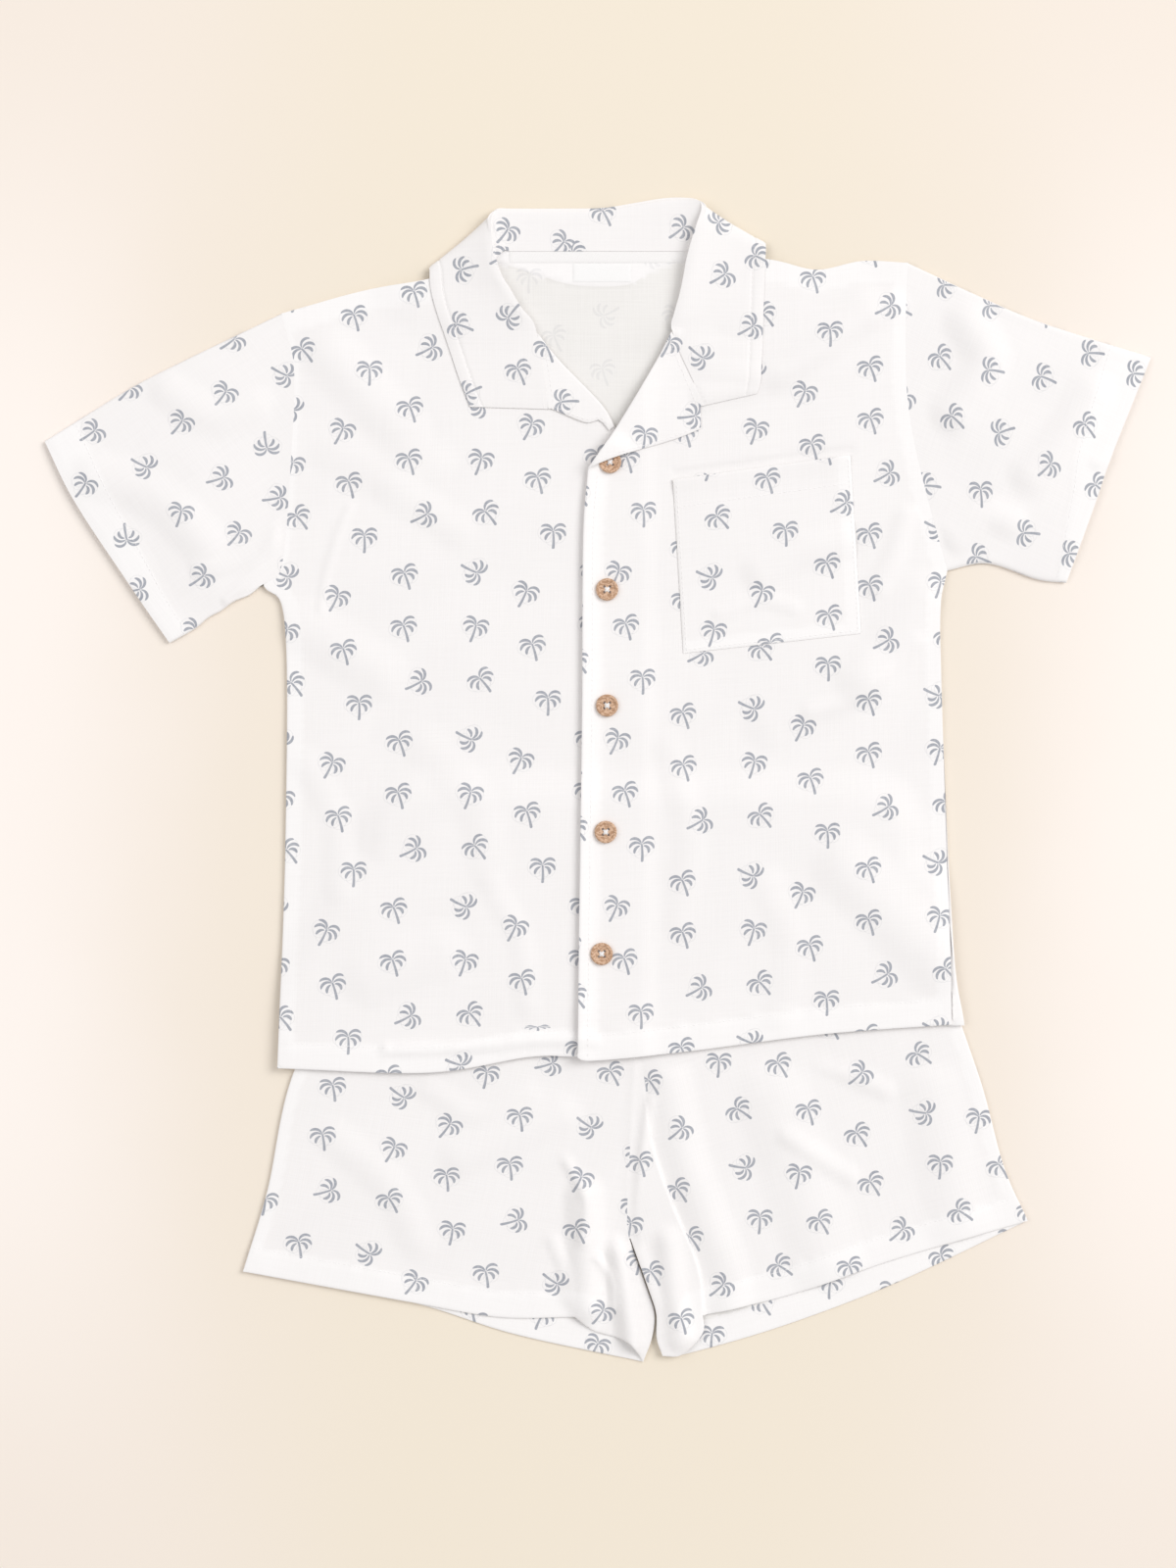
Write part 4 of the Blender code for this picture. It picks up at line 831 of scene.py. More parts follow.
class Signal:
    """A value in a node tree. Arithmetic with it adds the nodes that work it out."""

    def __init__(self, tree, socket):
        self.tree, self.socket = tree, socket

    def maths(self, operation, *others):
        return new_node(self.tree, "Math", dict(enumerate((self, *others))), operation=operation)

    def __add__(self, other):
        return self.maths("ADD", other)

    def __sub__(self, other):
        return self.maths("SUBTRACT", other)

    def __rsub__(self, other):
        return new_node(self.tree, "Math", {0: other, 1: self}, operation="SUBTRACT")

    def __mul__(self, other):
        return self.maths("MULTIPLY", other)

    def __truediv__(self, other):
        return self.maths("DIVIDE", other)

    def __pow__(self, other):
        return self.maths("POWER", other)

    def __abs__(self):
        return self.maths("ABSOLUTE")

    def vector(self, operation, *others):
        output = "Value" if operation in ("LENGTH", "DOT_PRODUCT") else "Vector"
        values = dict(enumerate((self, *others)))
        return new_node(self.tree, "VectorMath", values, output, operation=operation)

    def scaled(self, *factors):
        return self.vector("MULTIPLY", factors)

    def part(self, axis):
        return new_node(self.tree, "SeparateXYZ", {0: self}, axis)

    def noise(self, scale, detail=2.0):
        return new_node(self.tree, "TexNoise", {"Vector": self, "Scale": scale, "Detail": detail})

    def ramp(self, low, high, start=0.0, end=1.0, kind="SMOOTHSTEP"):
        inputs = {"Value": self, "From Min": low, "From Max": high, "To Min": start, "To Max": end}
        return new_node(self.tree, "MapRange", inputs, "Result", interpolation_type=kind)

    def mix(self, a, b, kind="RGBA"):
        first, output = {"RGBA": (6, 2), "VECTOR": (4, 1)}[kind]
        inputs = {0: self, first: a, first + 1: b}
        return new_node(self.tree, "Mix", inputs, output, data_type=kind)

    def through(self, inner, output):
        return new_node(self.tree, "Group", {"Place": self}, output, node_tree=inner)


def new_group(name):
    """A node group that works things out from a place on the cloth, in mm."""
    tree = bpy.data.node_groups.new(name, "ShaderNodeTree")
    tree.interface.new_socket(name="Place", in_out="INPUT", socket_type="NodeSocketVector")
    return tree, Signal(tree, tree.nodes.new("NodeGroupInput").outputs["Place"])


def giving(tree, **signals):
    """The group's tree, once these signals are its outputs."""
    for name in signals:
        tree.interface.new_socket(name=name, in_out="OUTPUT", socket_type="NodeSocketFloat")
    node = tree.nodes.new("NodeGroupOutput")
    for name, signal in signals.items():
        tree.links.new(signal.socket, node.inputs[name])
    return tree


def arc_through(start, middle, end):
    """Centre, radius, the direction of its middle and half its angle, for an arc."""
    (ax, ay), (bx, by), (cx, cy) = start, middle, end
    a, b, c = ax * ax + ay * ay, bx * bx + by * by, cx * cx + cy * cy
    d = 2 * (ax * (by - cy) + bx * (cy - ay) + cx * (ay - by))
    x = (a * (by - cy) + b * (cy - ay) + c * (ay - by)) / d
    y = (a * (cx - bx) + b * (ax - cx) + c * (bx - ax)) / d
    first, through, last = (math.atan2(v - y, u - x) for u, v in (start, middle, end))
    sweep = (last - first) % (2 * math.pi)
    if (through - first) % (2 * math.pi) > sweep:
        sweep -= 2 * math.pi
    return (x, y), math.hypot(ax - x, ay - y), first + sweep / 2, sweep / 2


def palm_group():
    """Ink of one upright palm around the origin."""
    tree, place = new_group("palm")
    ink = None
    for start, middle, end, half in FRONDS:
        centre, radius, facing, spread = arc_through(start, middle, end)
        q = place.vector("SUBTRACT", (*centre, 0.0))
        forward = q.vector("DOT_PRODUCT", (math.cos(facing), math.sin(facing), 0.0))
        aside = q.vector("DOT_PRODUCT", (-math.sin(facing), math.cos(facing), 0.0))
        share = aside.maths("ARCTAN2", forward) / spread
        left = (1.0 - share * share).maths("MAXIMUM", 0.0)
        width = left**FROND_TAPER * share.maths("MULTIPLY_ADD", FROND_LEAN * half, half)
        here = width - abs(q.vector("LENGTH") - radius)
        ink = ink.maths("MAXIMUM", here) if ink else here
    (tx, ty), (fx, fy) = TRUNK_TOP, TRUNK_FOOT
    long = math.hypot(fx - tx, fy - ty)
    ux, uy = (fx - tx) / long, (fy - ty) / long
    q = place.vector("SUBTRACT", (tx, ty, 0.0))
    along = q.vector("DOT_PRODUCT", (ux, uy, 0.0)) / long
    bend = along * (1.0 - along) * TRUNK_BEND
    off = q.vector("DOT_PRODUCT", (-uy, ux, 0.0)) - bend
    width = along.ramp(0.0, 1.0, TRUNK_NARROW, TRUNK_WIDE, "LINEAR")
    beyond = (along - 1.0).maths("MAXIMUM", 0.0 - along) * long
    away = (off * off + beyond.maths("MAXIMUM", 0.0) ** 2.0).maths("SQRT")
    ink = ink.maths("MAXIMUM", width - away)
    return giving(tree, Ink=ink.ramp(-INK_BLUR, INK_BLUR))


def spread_group(name, palm, palms, tile=None):
    """Ink of many palms, in a repeat or each at its own place."""
    tree, place = new_group(name)
    best = chosen = None
    for x, y, turn in palms:
        q = place.vector("SUBTRACT", (x, y, 0.0))
        if tile:
            wide, high = tile
            q = q.vector("WRAP", (wide / 2, high / 2, 1.0), (-wide / 2, -high / 2, -1.0))
        away = q.vector("LENGTH")
        upright = new_node(tree, "VectorRotate", {"Vector": q, "Angle": math.radians(turn)},
                           rotation_type="Z_AXIS")
        if best:
            chosen = away.maths("LESS_THAN", best).mix(chosen, upright, "VECTOR")
            best = best.maths("MINIMUM", away)
        else:
            best, chosen = away, upright
    return giving(tree, Ink=chosen.through(palm, "Ink"))


def weave_group():
    """Threads of a plain weave with slubs, as a height and a slight change of shade."""
    tree, place = new_group("weave")
    weft, warp = ((place.part(axis) * (2 * math.pi / pitch)).maths("SINE")
                  for axis, pitch in enumerate(THREAD_PITCH))
    slubs = place.scaled(0.035, 1.1, 1.0).noise(1.0) + place.scaled(1.3, 0.03, 1.0).noise(1.0)
    return giving(tree, Height=weft * warp * 0.12 + slubs * 0.8, Shade=slubs.ramp(0.7, 1.3))


def new_material(name, rough, **constants):
    material = bpy.data.materials.new(name)
    material.use_nodes = True
    shader = material.node_tree.nodes["Principled BSDF"]
    shader.inputs["Roughness"].default_value = rough
    for label, value in constants.items():
        shader.inputs[label.replace("_", " ")].default_value = value
    return material, material.node_tree, shader


def surface(tree, shader, colour, height, strength, distance):
    """Colour and bump of a material."""
    tree.links.new(colour.socket, shader.inputs["Base Color"])
    bump = new_node(tree, "Bump", {"Strength": strength, "Distance": distance, "Height": height})
    tree.links.new(bump.socket, shader.inputs["Normal"])


def object_place(tree):
    return new_node(tree, "TexCoord", {}, "Object").scaled(1 / MM, 1 / MM, 1 / MM)


def cloth_material(name, weave, spread, strength, light=SINGLE_LIGHT, dark=SINGLE_DARK):
    material, tree, shader = new_material(name, 0.88, Sheen_Weight=0.12, Sheen_Roughness=0.5)
    place = new_node(tree, "UVMap", {}, uv_map="Cloth").scaled(1 / MM, 1 / MM, 1 / MM)
    threads = place.through(weave, "Shade")
    blotches = place.scaled(0.02, 0.02, 0.02).noise(1.0)
    shade = threads * 0.6 + blotches.ramp(0.35, 0.65) * 0.4
    doubled = new_node(tree, "Attribute", {}, "Fac", attribute_name="Doubled")
    ground = doubled.mix(shade.mix(dark, light), shade.mix(DOUBLE_DARK, DOUBLE_LIGHT))
    ink = place.through(spread, "Ink") * strength
    surface(tree, shader, ink.mix(ground, threads.mix(INK, INK_PALE)),
            place.through(weave, "Height"), 0.5, 0.12 * MM)
    return material


def plain_cloth(name, light, dark, line_scale):
    """Tape, label and thread: fine woven lines without print."""
    material, tree, shader = new_material(name, 0.8, Sheen_Weight=0.1)
    place = object_place(tree)
    lines = ((place.part(0) + place.part(1) * 0.35) * line_scale).maths("SINE")
    share = lines.maths("MULTIPLY_ADD", 0.2, place.noise(1.4, 3.0))
    surface(tree, shader, share.ramp(0.2, 0.9).mix(dark, light), share, 0.6, 0.1 * MM)
    return material


def wood_material():
    material, tree, shader = new_material("button_wood", 0.55)
    place = object_place(tree)
    swirl = place.scaled(0.25, 0.25, 0.25).noise(1.0)
    across = place.vector("DOT_PRODUCT", WOOD_ACROSS) * WOOD_RINGS
    rings = swirl.maths("MULTIPLY_ADD", WOOD_SWIRL, across).maths("SINE")
    grain = rings * 0.22 + place.scaled(0.8, 5.0, 1.0).noise(1.0, 3.0)
    surface(tree, shader, grain.ramp(0.2, 0.85).mix(WOOD_DARK, WOOD_LIGHT), grain, 0.5, 0.15 * MM)
    tree.links.new(grain.ramp(0.2, 0.9, 0.66, 0.46).socket, shader.inputs["Roughness"])
    return material


PALM = palm_group()
WEAVE = weave_group()
REPEAT = spread_group("repeat", PALM, TILE_PALMS, TILE)
LOOSE = spread_group("collar_print", PALM, COLLAR_PALMS)
PRINTED = cloth_material("cloth_print", WEAVE, REPEAT, 0.95)
# Wrong side: the print faint, as on the back of printed cloth, on a ground made darker as painted
# shade
WRONG_SIDE_PAINTED_SHADE = cloth_material("cloth_wrong_side_painted_shade", WEAVE, REPEAT, 0.14, SHADED_LIGHT, SHADED_DARK)
COLLAR_PRINT = cloth_material("cloth_print_collar", WEAVE, LOOSE, 0.95)
TAPE = plain_cloth("tape", (0.920, 0.902, 0.892, 1), (0.87, 0.852, 0.842, 1), 7.0)
LABEL = plain_cloth("label", (0.942, 0.930, 0.922, 1), (0.90, 0.888, 0.880, 1), 11.0)
THREAD = plain_cloth("thread", (0.98, 0.96, 0.955, 1), (0.90, 0.88, 0.87, 1), 14.0)
WOOD = wood_material()

made = {}


def keep(node, obj):
    """Let the piece stand for the node."""
    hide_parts(node)
    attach(obj, "root")
    made[node] = obj


def threads(name, paths, radius, sides):
    """One piece of thin round threads along the paths, closed at both ends."""
    points, faces = [], []
    for path in paths:
        way = direction(np.gradient(path, axis=0))
        aside = direction(np.cross(way, UP))
        top = np.cross(aside, way)
        first = len(points)
        taper = np.ones(len(path))
        taper[[0, -1]] = THREAD_END
        for k in range(len(path)):
            for s in range(sides):
                a = 2 * math.pi * s / sides
                around = aside[k] * math.cos(a) + top[k] * math.sin(a)
                points.append(path[k] + radius * taper[k] * around)
        for k in range(len(path) - 1):
            for s in range(sides):
                a, b = (first + k * sides + i for i in (s, (s + 1) % sides))
                faces.append((a + sides, b + sides, b, a))
        last = first + (len(path) - 1) * sides
        faces.append(tuple(range(first, first + sides)))
        faces.append(tuple(range(last, last + sides))[::-1])
    obj = new_mesh(name, np.array(points), faces, [THREAD])
    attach(obj, "root")


def thread_line(node, lines):
    """Short threads of topstitching along lines in space that lie on the cloth."""
    paths = []
    for line in lines:
        run = np.concatenate([[0], np.cumsum(np.linalg.norm(np.diff(line, axis=0), axis=1))])
        for start in np.arange(STITCH_START, run[-1] - STITCH_PITCH, STITCH_PITCH):
            at = start + STITCH_PITCH * STITCH_ALONG
            path = np.column_stack([np.interp(at, run, line[:, k]) for k in range(3)])
            path[:, 2] += STITCH_HEIGHT
            paths.append(path)
    threads(f"stitch_{node}", paths, STITCH_RADIUS, 5)


def sew(node, lines, top, outline):
    """Topstitching on a laid panel, where the lines are inside its outline."""
    kept = []
    for line in lines:
        line = resampled(line, 1.0)
        line = line[inside(*line.T, outline) & (near(*line.T, outline, True) > STITCH_MARGIN)]
        kept.append(np.column_stack([line, top(*line.T)]))
    thread_line(node, kept)


def lay(node, low, top, flat, lines, **more):
    """A panel in place of its solid, with the cloth's right side up, and its topstitching."""
    outline = chained(node)
    more.setdefault("doubled", lambda x, y: doubled_cloth(node, x, y))
    keep(node, slab(f"cloth_{node}", outline, low, top, [PRINTED, WRONG_SIDE_PAINTED_SHADE], flat, **more))
    sew(node, lines, top, outline)


def outside_seam(x, y):
    """How far points of the back lie outside the left side seam, where it wraps to the front."""
    out = -signed(x, y, edge("seam_left"))
    return np.where((out > 0) & (y < WRAP_TOP_Y) & (x > WRAP_X), out, 0.0)


def yoke(x, y):
    return ((signed(x, y, curve(YOKE)) > 0) & (np.abs(x) < YOKE_HALF)).astype(float)


def back_high(x, y):
    above = yoke(x, y) * smooth(near(x, y, curve(YOKE)) / YOKE_STEP)
    wrapped = smooth(outside_seam(x, y) / WRAP_STEP)
    return back_low(x, y) + CLOTH + WRAP_RISE * wrapped + YOKE_RISE * above


def on_front(panel, x, y):
    """Print on a front of the shirt, where the fold above the right hem hides some cloth."""
    places = on_grain(panel, x, y)
    if panel == "shirt_front_right":
        below = (signed(x, y, curve(HEM_FOLD)) < 0) & (y < HEM_FOLD[-1][1] + 1)
        places[:, 1] -= HEM_FOLD_SHARE * np.clip(x - HEM_FOLD_START_X, 0, None) * below
    return places


def build_back():
    yoke_line, seam_line = curve(YOKE, 1.5), edge("seam_left", 2.0)
    keep("shirt_back", slab(
        "cloth_shirt_back", chained("shirt_back"), back_low, back_high, [WRONG_SIDE_PAINTED_SHADE, PRINTED],
        lambda x, y: on_grain("shirt_back", x, y, True),
        top_slot=lambda x, y: (outside_seam(x, y) > 0).astype(int),
        rows=np.vstack([yoke_line, shifted(yoke_line, -YOKE_STEP),
                        shifted(seam_line, WRAP_STEP), seam_line]),
        doubled=lambda x, y: np.maximum(yoke(x, y), outside_seam(x, y) > 0)))


def build_front(name, hem, seams):
    def low(x, y):
        return front_low(name, x, y)

    def top(x, y):
        return low(x, y) + CLOTH + band(hem, x, y)

    lines = [shifted(hem, -HEM_STITCH)]
    rows = np.vstack([crease_rows(name), resampled(lines[0], HEM_ROW_STEP)])
    if name == "shirt_front_left":
        lines.append(shifted(edge("placket"), PLACKET_STITCH))
    lay(name, low, top, lambda x, y: on_front(name, x, y), lines, seams=seams, rows=rows)


def build_lapel(side, inward):
    """The turned-back facing, which on the left also lies over the first button."""
    name, seam = f"facing_{side}", f"gorge_{side}"

    def low(x, y):
        height = front_low(f"shirt_front_{side}", x, y) + LAYER
        if side == "left":
            away = np.hypot(x - BUTTONS[0][0], y - BUTTONS[0][1]) - BUTTON_RADIUS
            slope = 1 - smooth((away - LAPEL_CLEAR) / LAPEL_RAMP)
            height = height + (BUTTON_THICKNESS + GAP) * slope
        return height

    def top(x, y):
        return low(x, y) + CLOTH

    outline = chained(name)
    keep(name, slab(f"cloth_{name}", outline, low, top, [COLLAR_PRINT, WRONG_SIDE_PAINTED_SHADE], plan_place,
                    seams=(seam,), step=LAPEL_GRID, doubled=LAPEL_DOUBLED))
    sew(name, [shifted(edge(f"lapel_foot_{side}"), inward), shifted(edge(seam), 2 * inward)],
        top, outline)


def build_pocket():
    def low(x, y):
        gape = POCKET_GAPE * (1 - smooth(near(x, y, edge("pocket_top")) / POCKET_GAPE_RUN))
        front = front_low("shirt_front_left", x, y) + CLOTH
        return front + POCKET_LIE + creases("pocket", x, y) + gape

    def top(x, y):
        return low(x, y) + POCKET_CLOTH

    lines = [shifted(resampled(EDGES[f"pocket_{side}"], POCKET_LINE_STEP), distance)
             for side, distance in (("outer", POCKET_STITCH), ("foot", POCKET_STITCH),
                                    ("inner", POCKET_STITCH), ("top", POCKET_HEM))]
    lay("pocket", low, top, lambda x, y: on_grain("pocket", x, y), lines,
        rows=crease_rows("pocket"), step=POCKET_GRID)


def build_trim(node, box, material):
    """Tape or label, flat on the inside of the shirt's back."""
    x0, y0, x1, y1 = box
    outline = resampled([(x0, y0), (x1, y0), (x1, y1), (x0, y1), (x0, y0)], TRIM_STEP)[:-1]

    def low(x, y):
        return back_high(x, y) + TRIM_GAP

    keep(node, slab(f"trim_{node}", outline, low, lambda x, y: low(x, y) + TRIM_THICKNESS,
                    [material, material], plan_place, step=TRIM_GRID, rings=TRIM_RINGS,
                    soft=TRIM_DROP))


def collar_section(seam, roll, stand_z, fall_z, outer):
    """Points across the collar, from its seam up the stand, over the roll and out to its edge."""
    radius = 0.5 * abs(fall_z - stand_z) + ROLL_LEAST
    to_seam, to_outer = (seam - roll)[:2], (outer - roll)[:2]
    inward, outward = np.hypot(*to_seam), np.hypot(*to_outer)
    stand = np.array([*(roll[:2] + to_seam / max(inward, TINY) * radius), stand_z])
    fall = np.array([*(roll[:2] + to_outer / outward * radius), fall_z])
    if inward < radius:
        stand = (seam + roll) / 2
    rise = np.linspace(0, 1, STAND_POINTS + 1)[:-1, None]
    row = list(seam + (stand - seam) * rise)
    row += list(spline([seam, stand, roll, fall, outer], np.linspace(0.25, 0.75, ROLL_POINTS)))
    groove = 1 - (COLLAR_STITCH + COLLAR_GROOVE_ROWS) / math.dist(fall[:2], outer[:2])
    for t in np.sort(np.concatenate([np.linspace(0, 1, FALL_POINTS + 1)[1:], groove])):
        point = fall + (outer - fall) * t
        point[2] = outer[2] + (fall_z - outer[2]) * (1 - t) ** 2
        row.append(point)
    return row


def collar_grid(table, fronts):
    """The middle of the collar's cloth, which lies on the fronts wherever it is over them."""
    over_fronts = table[:, 9]
    behind = np.clip(1 - over_fronts, 0, 1)
    seam_z = back_low(table[:, 0], table[:, 1]) + WALL / 2 + LAYER * over_fronts
    seam_z = seam_z + BACK_SEAM_RISE * behind
    table[:, 1] -= BACK_SEAM_REACH * behind
    outer_z = front_top(table[:, 7], table[:, 8]) + COLLAR_LIE
    outer_z = COLLAR_WALL / 2 + (outer_z - COLLAR_WALL / 2) * smooth(over_fronts)
    grid = np.array([
        collar_section(np.array([*row[:2], seam_z[k]]), np.array([*row[2:4], row[5]]), row[4],
                       row[6], np.array([*row[7:9], outer_z[k]]))
        for k, row in enumerate(table)])
    x, y = grid[..., 0].ravel(), grid[..., 1].ravel()
    depth = np.full(len(x), -np.inf)
    for front in fronts:
        reach = near(x, y, front, True)
        depth = np.maximum(depth, np.where(inside(x, y, front), reach, -reach))
    share = smooth((depth + FRONT_SLOPE) / FRONT_SLOPE)
    floor_z = share * front_top(x, y) + (1 - share) * (back_low(x, y) + CLOTH)
    on_back = np.repeat(over_fronts, grid.shape[1]) < 0.98
    least = np.where(on_back, COLLAR_WALL / 2, floor_z + COLLAR_LIE)
    grid[..., 2] = np.maximum(grid[..., 2].ravel(), least).reshape(grid.shape[:2])
    return grid


def build_collar(fronts):
    rows = np.array(COLLAR, float)
    table = spline(rows, np.linspace(0, 1, (len(rows) - 1) * COLLAR_ROWS + 1))
    table[:, 9] = np.clip(table[:, 9], 0, 1)
    grid = collar_grid(table, fronts)
    count, columns = grid.shape[:2]
    normal = direction(np.cross(np.gradient(grid, axis=0), np.gradient(grid, axis=1)))
    steps = np.linalg.norm(np.diff(grid, axis=1, prepend=grid[:, :1]), axis=2)
    run = np.cumsum(steps, axis=1)
    to_outer = run[:, -1:] - run
    from_end = np.minimum(np.arange(count), np.arange(count)[::-1])[:, None]
    rim = np.minimum(to_outer / COLLAR_ROUND, from_end / COLLAR_END_ROUND)
    half = COLLAR_HALF * (1 - 0.75 * rounding(rim))
    half -= COLLAR_GROOVE * bell((to_outer - COLLAR_STITCH) / COLLAR_GROOVE_HALF)
    upper, lower = grid + normal * half[..., None], grid - normal * half[..., None]
    total = count * columns
    index = np.arange(total).reshape(count, columns)
    a, b = index[:-1, :-1].ravel(), index[:-1, 1:].ravel()
    c, d = index[1:, 1:].ravel(), index[1:, :-1].ravel()
    faces = [*np.column_stack([a, d, c, b]), *(np.column_stack([a, b, c, d]) + total)]
    border = np.concatenate([index[0], index[1:, -1], index[-1, -2::-1], index[-2:0:-1, 0]])
    after = np.roll(border, -1)
    faces += list(np.column_stack([border, after, after + total, border + total]))
    points = np.vstack([upper.reshape(-1, 3), lower.reshape(-1, 3)])
    keep("collar", new_mesh("cloth_collar", points, faces, [COLLAR_PRINT], flat=points[:, :2],
                            doubled=0.0))
    line = np.array([[np.interp(-COLLAR_STITCH, -away, row[:, k]) for k in range(3)]
                     for row, away in zip(upper, to_outer)])
    wings = np.flatnonzero(table[:, 9] > 0.95)
    split = np.flatnonzero(np.diff(wings) > 1)[0] + 1
    unsewn = COLLAR_ROWS // 2
    thread_line("collar", [line[wings[:split]][unsewn:], line[wings[split:]][:-unsewn]])


def once_round(under, above):
    """Rows along the underside of a flattened tube, then back along its top."""
    return np.vstack([under, above[-2:0:-1]])


def tube(name, outer, inner, places, doubled, turn=1):
    """A flattened tube of cloth from its rings of points, open at both ends."""
    size = len(outer[0])
    total = size * len(outer)
    k = np.arange(size)
    after = (k + 1) % size
    faces, slots = [], []
    for i in range(len(outer) - 1):
        a, b = i * size + k, i * size + after
        quads = np.column_stack([a, b, b + size, a + size])
        faces += [*quads[:, ::turn], *(quads + total)[:, ::-turn]]
        slots += [0] * size + [1] * size
    for i, way in ((0, -turn), (len(outer) - 1, turn)):
        a, b = i * size + k, i * size + after
        faces += list(np.column_stack([a, b, b + total, a + total])[:, ::way])
        slots += [0] * size
    keep(name, new_mesh(f"cloth_{name}", np.vstack([*outer, *inner]), faces,
                        [PRINTED, WRONG_SIDE_PAINTED_SHADE], slots, np.vstack([*places, *places]), doubled))


def sleeve_plan(sides, u, v):
    """Points of the sleeve in plan: u from upper to underarm fold, v from armhole to hem."""
    u, v = np.asarray(u), np.full(len(u), v)
    armhole, hem = spline(sides["armhole"], u), spline(sides["hem"], u)
    upper, under = spline(sides["upper"], v), spline(sides["under"], v)
    u, v = u[:, None], v[:, None]
    (p, q), (r, s) = ((np.array(sides[side][0]), np.array(sides[side][-1]))
                      for side in ("armhole", "hem"))
    return ((1 - v) * armhole + v * hem + (1 - u) * upper + u * under
            - (1 - u) * (1 - v) * p - u * (1 - v) * q - (1 - u) * v * r - u * v * s)


def build_sleeve(name, sides):
    share = np.linspace(0, 1, SLEEVE_ACROSS + 1)
    # Points closer together towards the folded sides
    share = 0.5 - 0.5 * np.cos(math.pi * share) * (0.25 + 0.75 * np.abs(2 * share - 1) ** 0.2)
    share = (share - share[0]) / (share[-1] - share[0])
    inner_share = SLEEVE_INSET + share * (1 - 2 * SLEEVE_INSET)
    length = apart(sleeve_plan(sides, [0.5], 1.0)[0], sleeve_plan(sides, [0.5], 0.0)[0])
    outer, inner, places, doubled, stitched = [], [], [], [], []
    for v in np.linspace(0, 1, SLEEVE_ALONG + 1):
        plan, inner_plan = sleeve_plan(sides, share, v), sleeve_plan(sides, inner_share, v)
        from_fold = np.minimum(share, 1 - share) * apart(plan[-1], plan[0])
        from_hem = (1 - v) * length
        flatter = 1 - SLEEVE_FLATTER * smooth((v - 0.5) / 0.5)
        loft = SLEEVE_LOFT * smooth(v * 2) * flatter * np.sin(math.pi * share) ** 0.7
        high = 2 * WALL + GAP + loft + creases(name, *plan.T)
        high = high + rumpled(*plan.T) * smooth(from_fold / SLEEVE_RUMPLE_RUN)
        joined = smooth(v * length / ARMHOLE_RUN)
        high = joined * high + (1 - joined) * front_top(*plan.T)
        high = high + HEM_RISE * (1 - smooth((from_hem - SLEEVE_HEM) / 1.5))
        high = high - SLEEVE_GROOVE * bell(from_hem - SLEEVE_HEM + 1)
        bend = rounding(from_fold / SLEEVE_BEND)
        ease = SLEEVE_EASE * rounding(from_hem / SLEEVE_END)
        low, top = 0.5 * high * bend, high - 0.5 * high * bend
        inner_low = np.minimum(low + CLOTH, high / 2 - SLEEVE_OPEN)
        inner_top = np.maximum(top - CLOTH, high / 2 + SLEEVE_OPEN)
        outer.append(once_round(np.column_stack([plan, low + ease]),
                                np.column_stack([plan, top - ease])))
        inner.append(once_round(np.column_stack([inner_plan, inner_low - ease]),
                                np.column_stack([inner_plan, inner_top + ease])))
        printed = on_grain(name, *plan.T)
        places.append(once_round(printed + SLEEVE_PRINT_BELOW, printed))
        hem_share = 1 - smooth((from_hem - SLEEVE_HEM + DOUBLED_BLUR / 2) / DOUBLED_BLUR)
        doubled.append(np.full(len(outer[0]), hem_share))
        stitched.append((abs(from_hem - SLEEVE_HEM + SLEEVE_STITCH), len(stitched),
                         np.column_stack([plan, top])[2:-2]))
    tube(name, outer, inner, places, np.tile(np.concatenate(doubled), 2),
         1 if name == "sleeve_right" else -1)
    thread_line(name, [min(stitched)[2]])


def circle(x, y, radius, count):
    a = np.linspace(0, 2 * math.pi, count, endpoint=False)
    return np.column_stack([x + radius * np.cos(a), y + radius * np.sin(a)])


def build_button(number, x, y):
    """A dished button with four holes, and the cross of thread that holds it."""
    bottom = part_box(f"button_{number}")[0].z / MM

    def from_edge(px, py):
        return BUTTON_RADIUS - np.hypot(px - x, py - y)

    def top(px, py):
        away = from_edge(px, py)
        dish = BUTTON_DISH * smooth((away - BUTTON_RIM) / DISH_SLOPE)
        return bottom + BUTTON_THICKNESS - dish - TOP_ROUND * rounding(away)

    def foot(px, py):
        return bottom + FOOT_ROUND * rounding(from_edge(px, py) / FOOT_RUN)

    holes = [circle(x + i * HOLE_PITCH, y + j * HOLE_PITCH, HOLE_RADIUS, HOLE_SPOKES)
             for i in (-1, 1) for j in (-1, 1)]
    rim = circle(x, y, BUTTON_RADIUS, BUTTON_SPOKES)
    keep(f"button_{number}",
         slab(f"wood_button_{number}", rim, foot, top, [WOOD, WOOD], plan_place,
              step=BUTTON_GRID, rings=BUTTON_RINGS, holes=holes, soft=0.0))
    t = np.linspace(0, 1, 9)[:, None]
    z = bottom + BUTTON_THICKNESS - BUTTON_DISH - THREAD_SINK
    z = z + THREAD_RISE * np.sin(math.pi * t) ** 0.55
    strands = []
    for turn in (1, -1):
        for aside in STRANDS:
            start, finish = (np.array([x + way * THREAD_REACH - aside * turn,
                                       y + way * THREAD_REACH * turn + aside])
                             for way in (-1, 1))
            strands.append(np.hstack([start * (1 - t) + finish * t, z]))
    threads(f"thread_button_{number}", strands, BUTTON_THREAD, 6)


def strip_rise(x, y):
    """The folded strip beside the left leg's pleat, which stands above the front."""
    share = 1 - smooth(signed(x, y, curve(STRIP_FOLD)) / STRIP_EDGE)
    return STRIP_RISE * share * smooth((STRIP_START_Y - y) / STRIP_START_RUN)


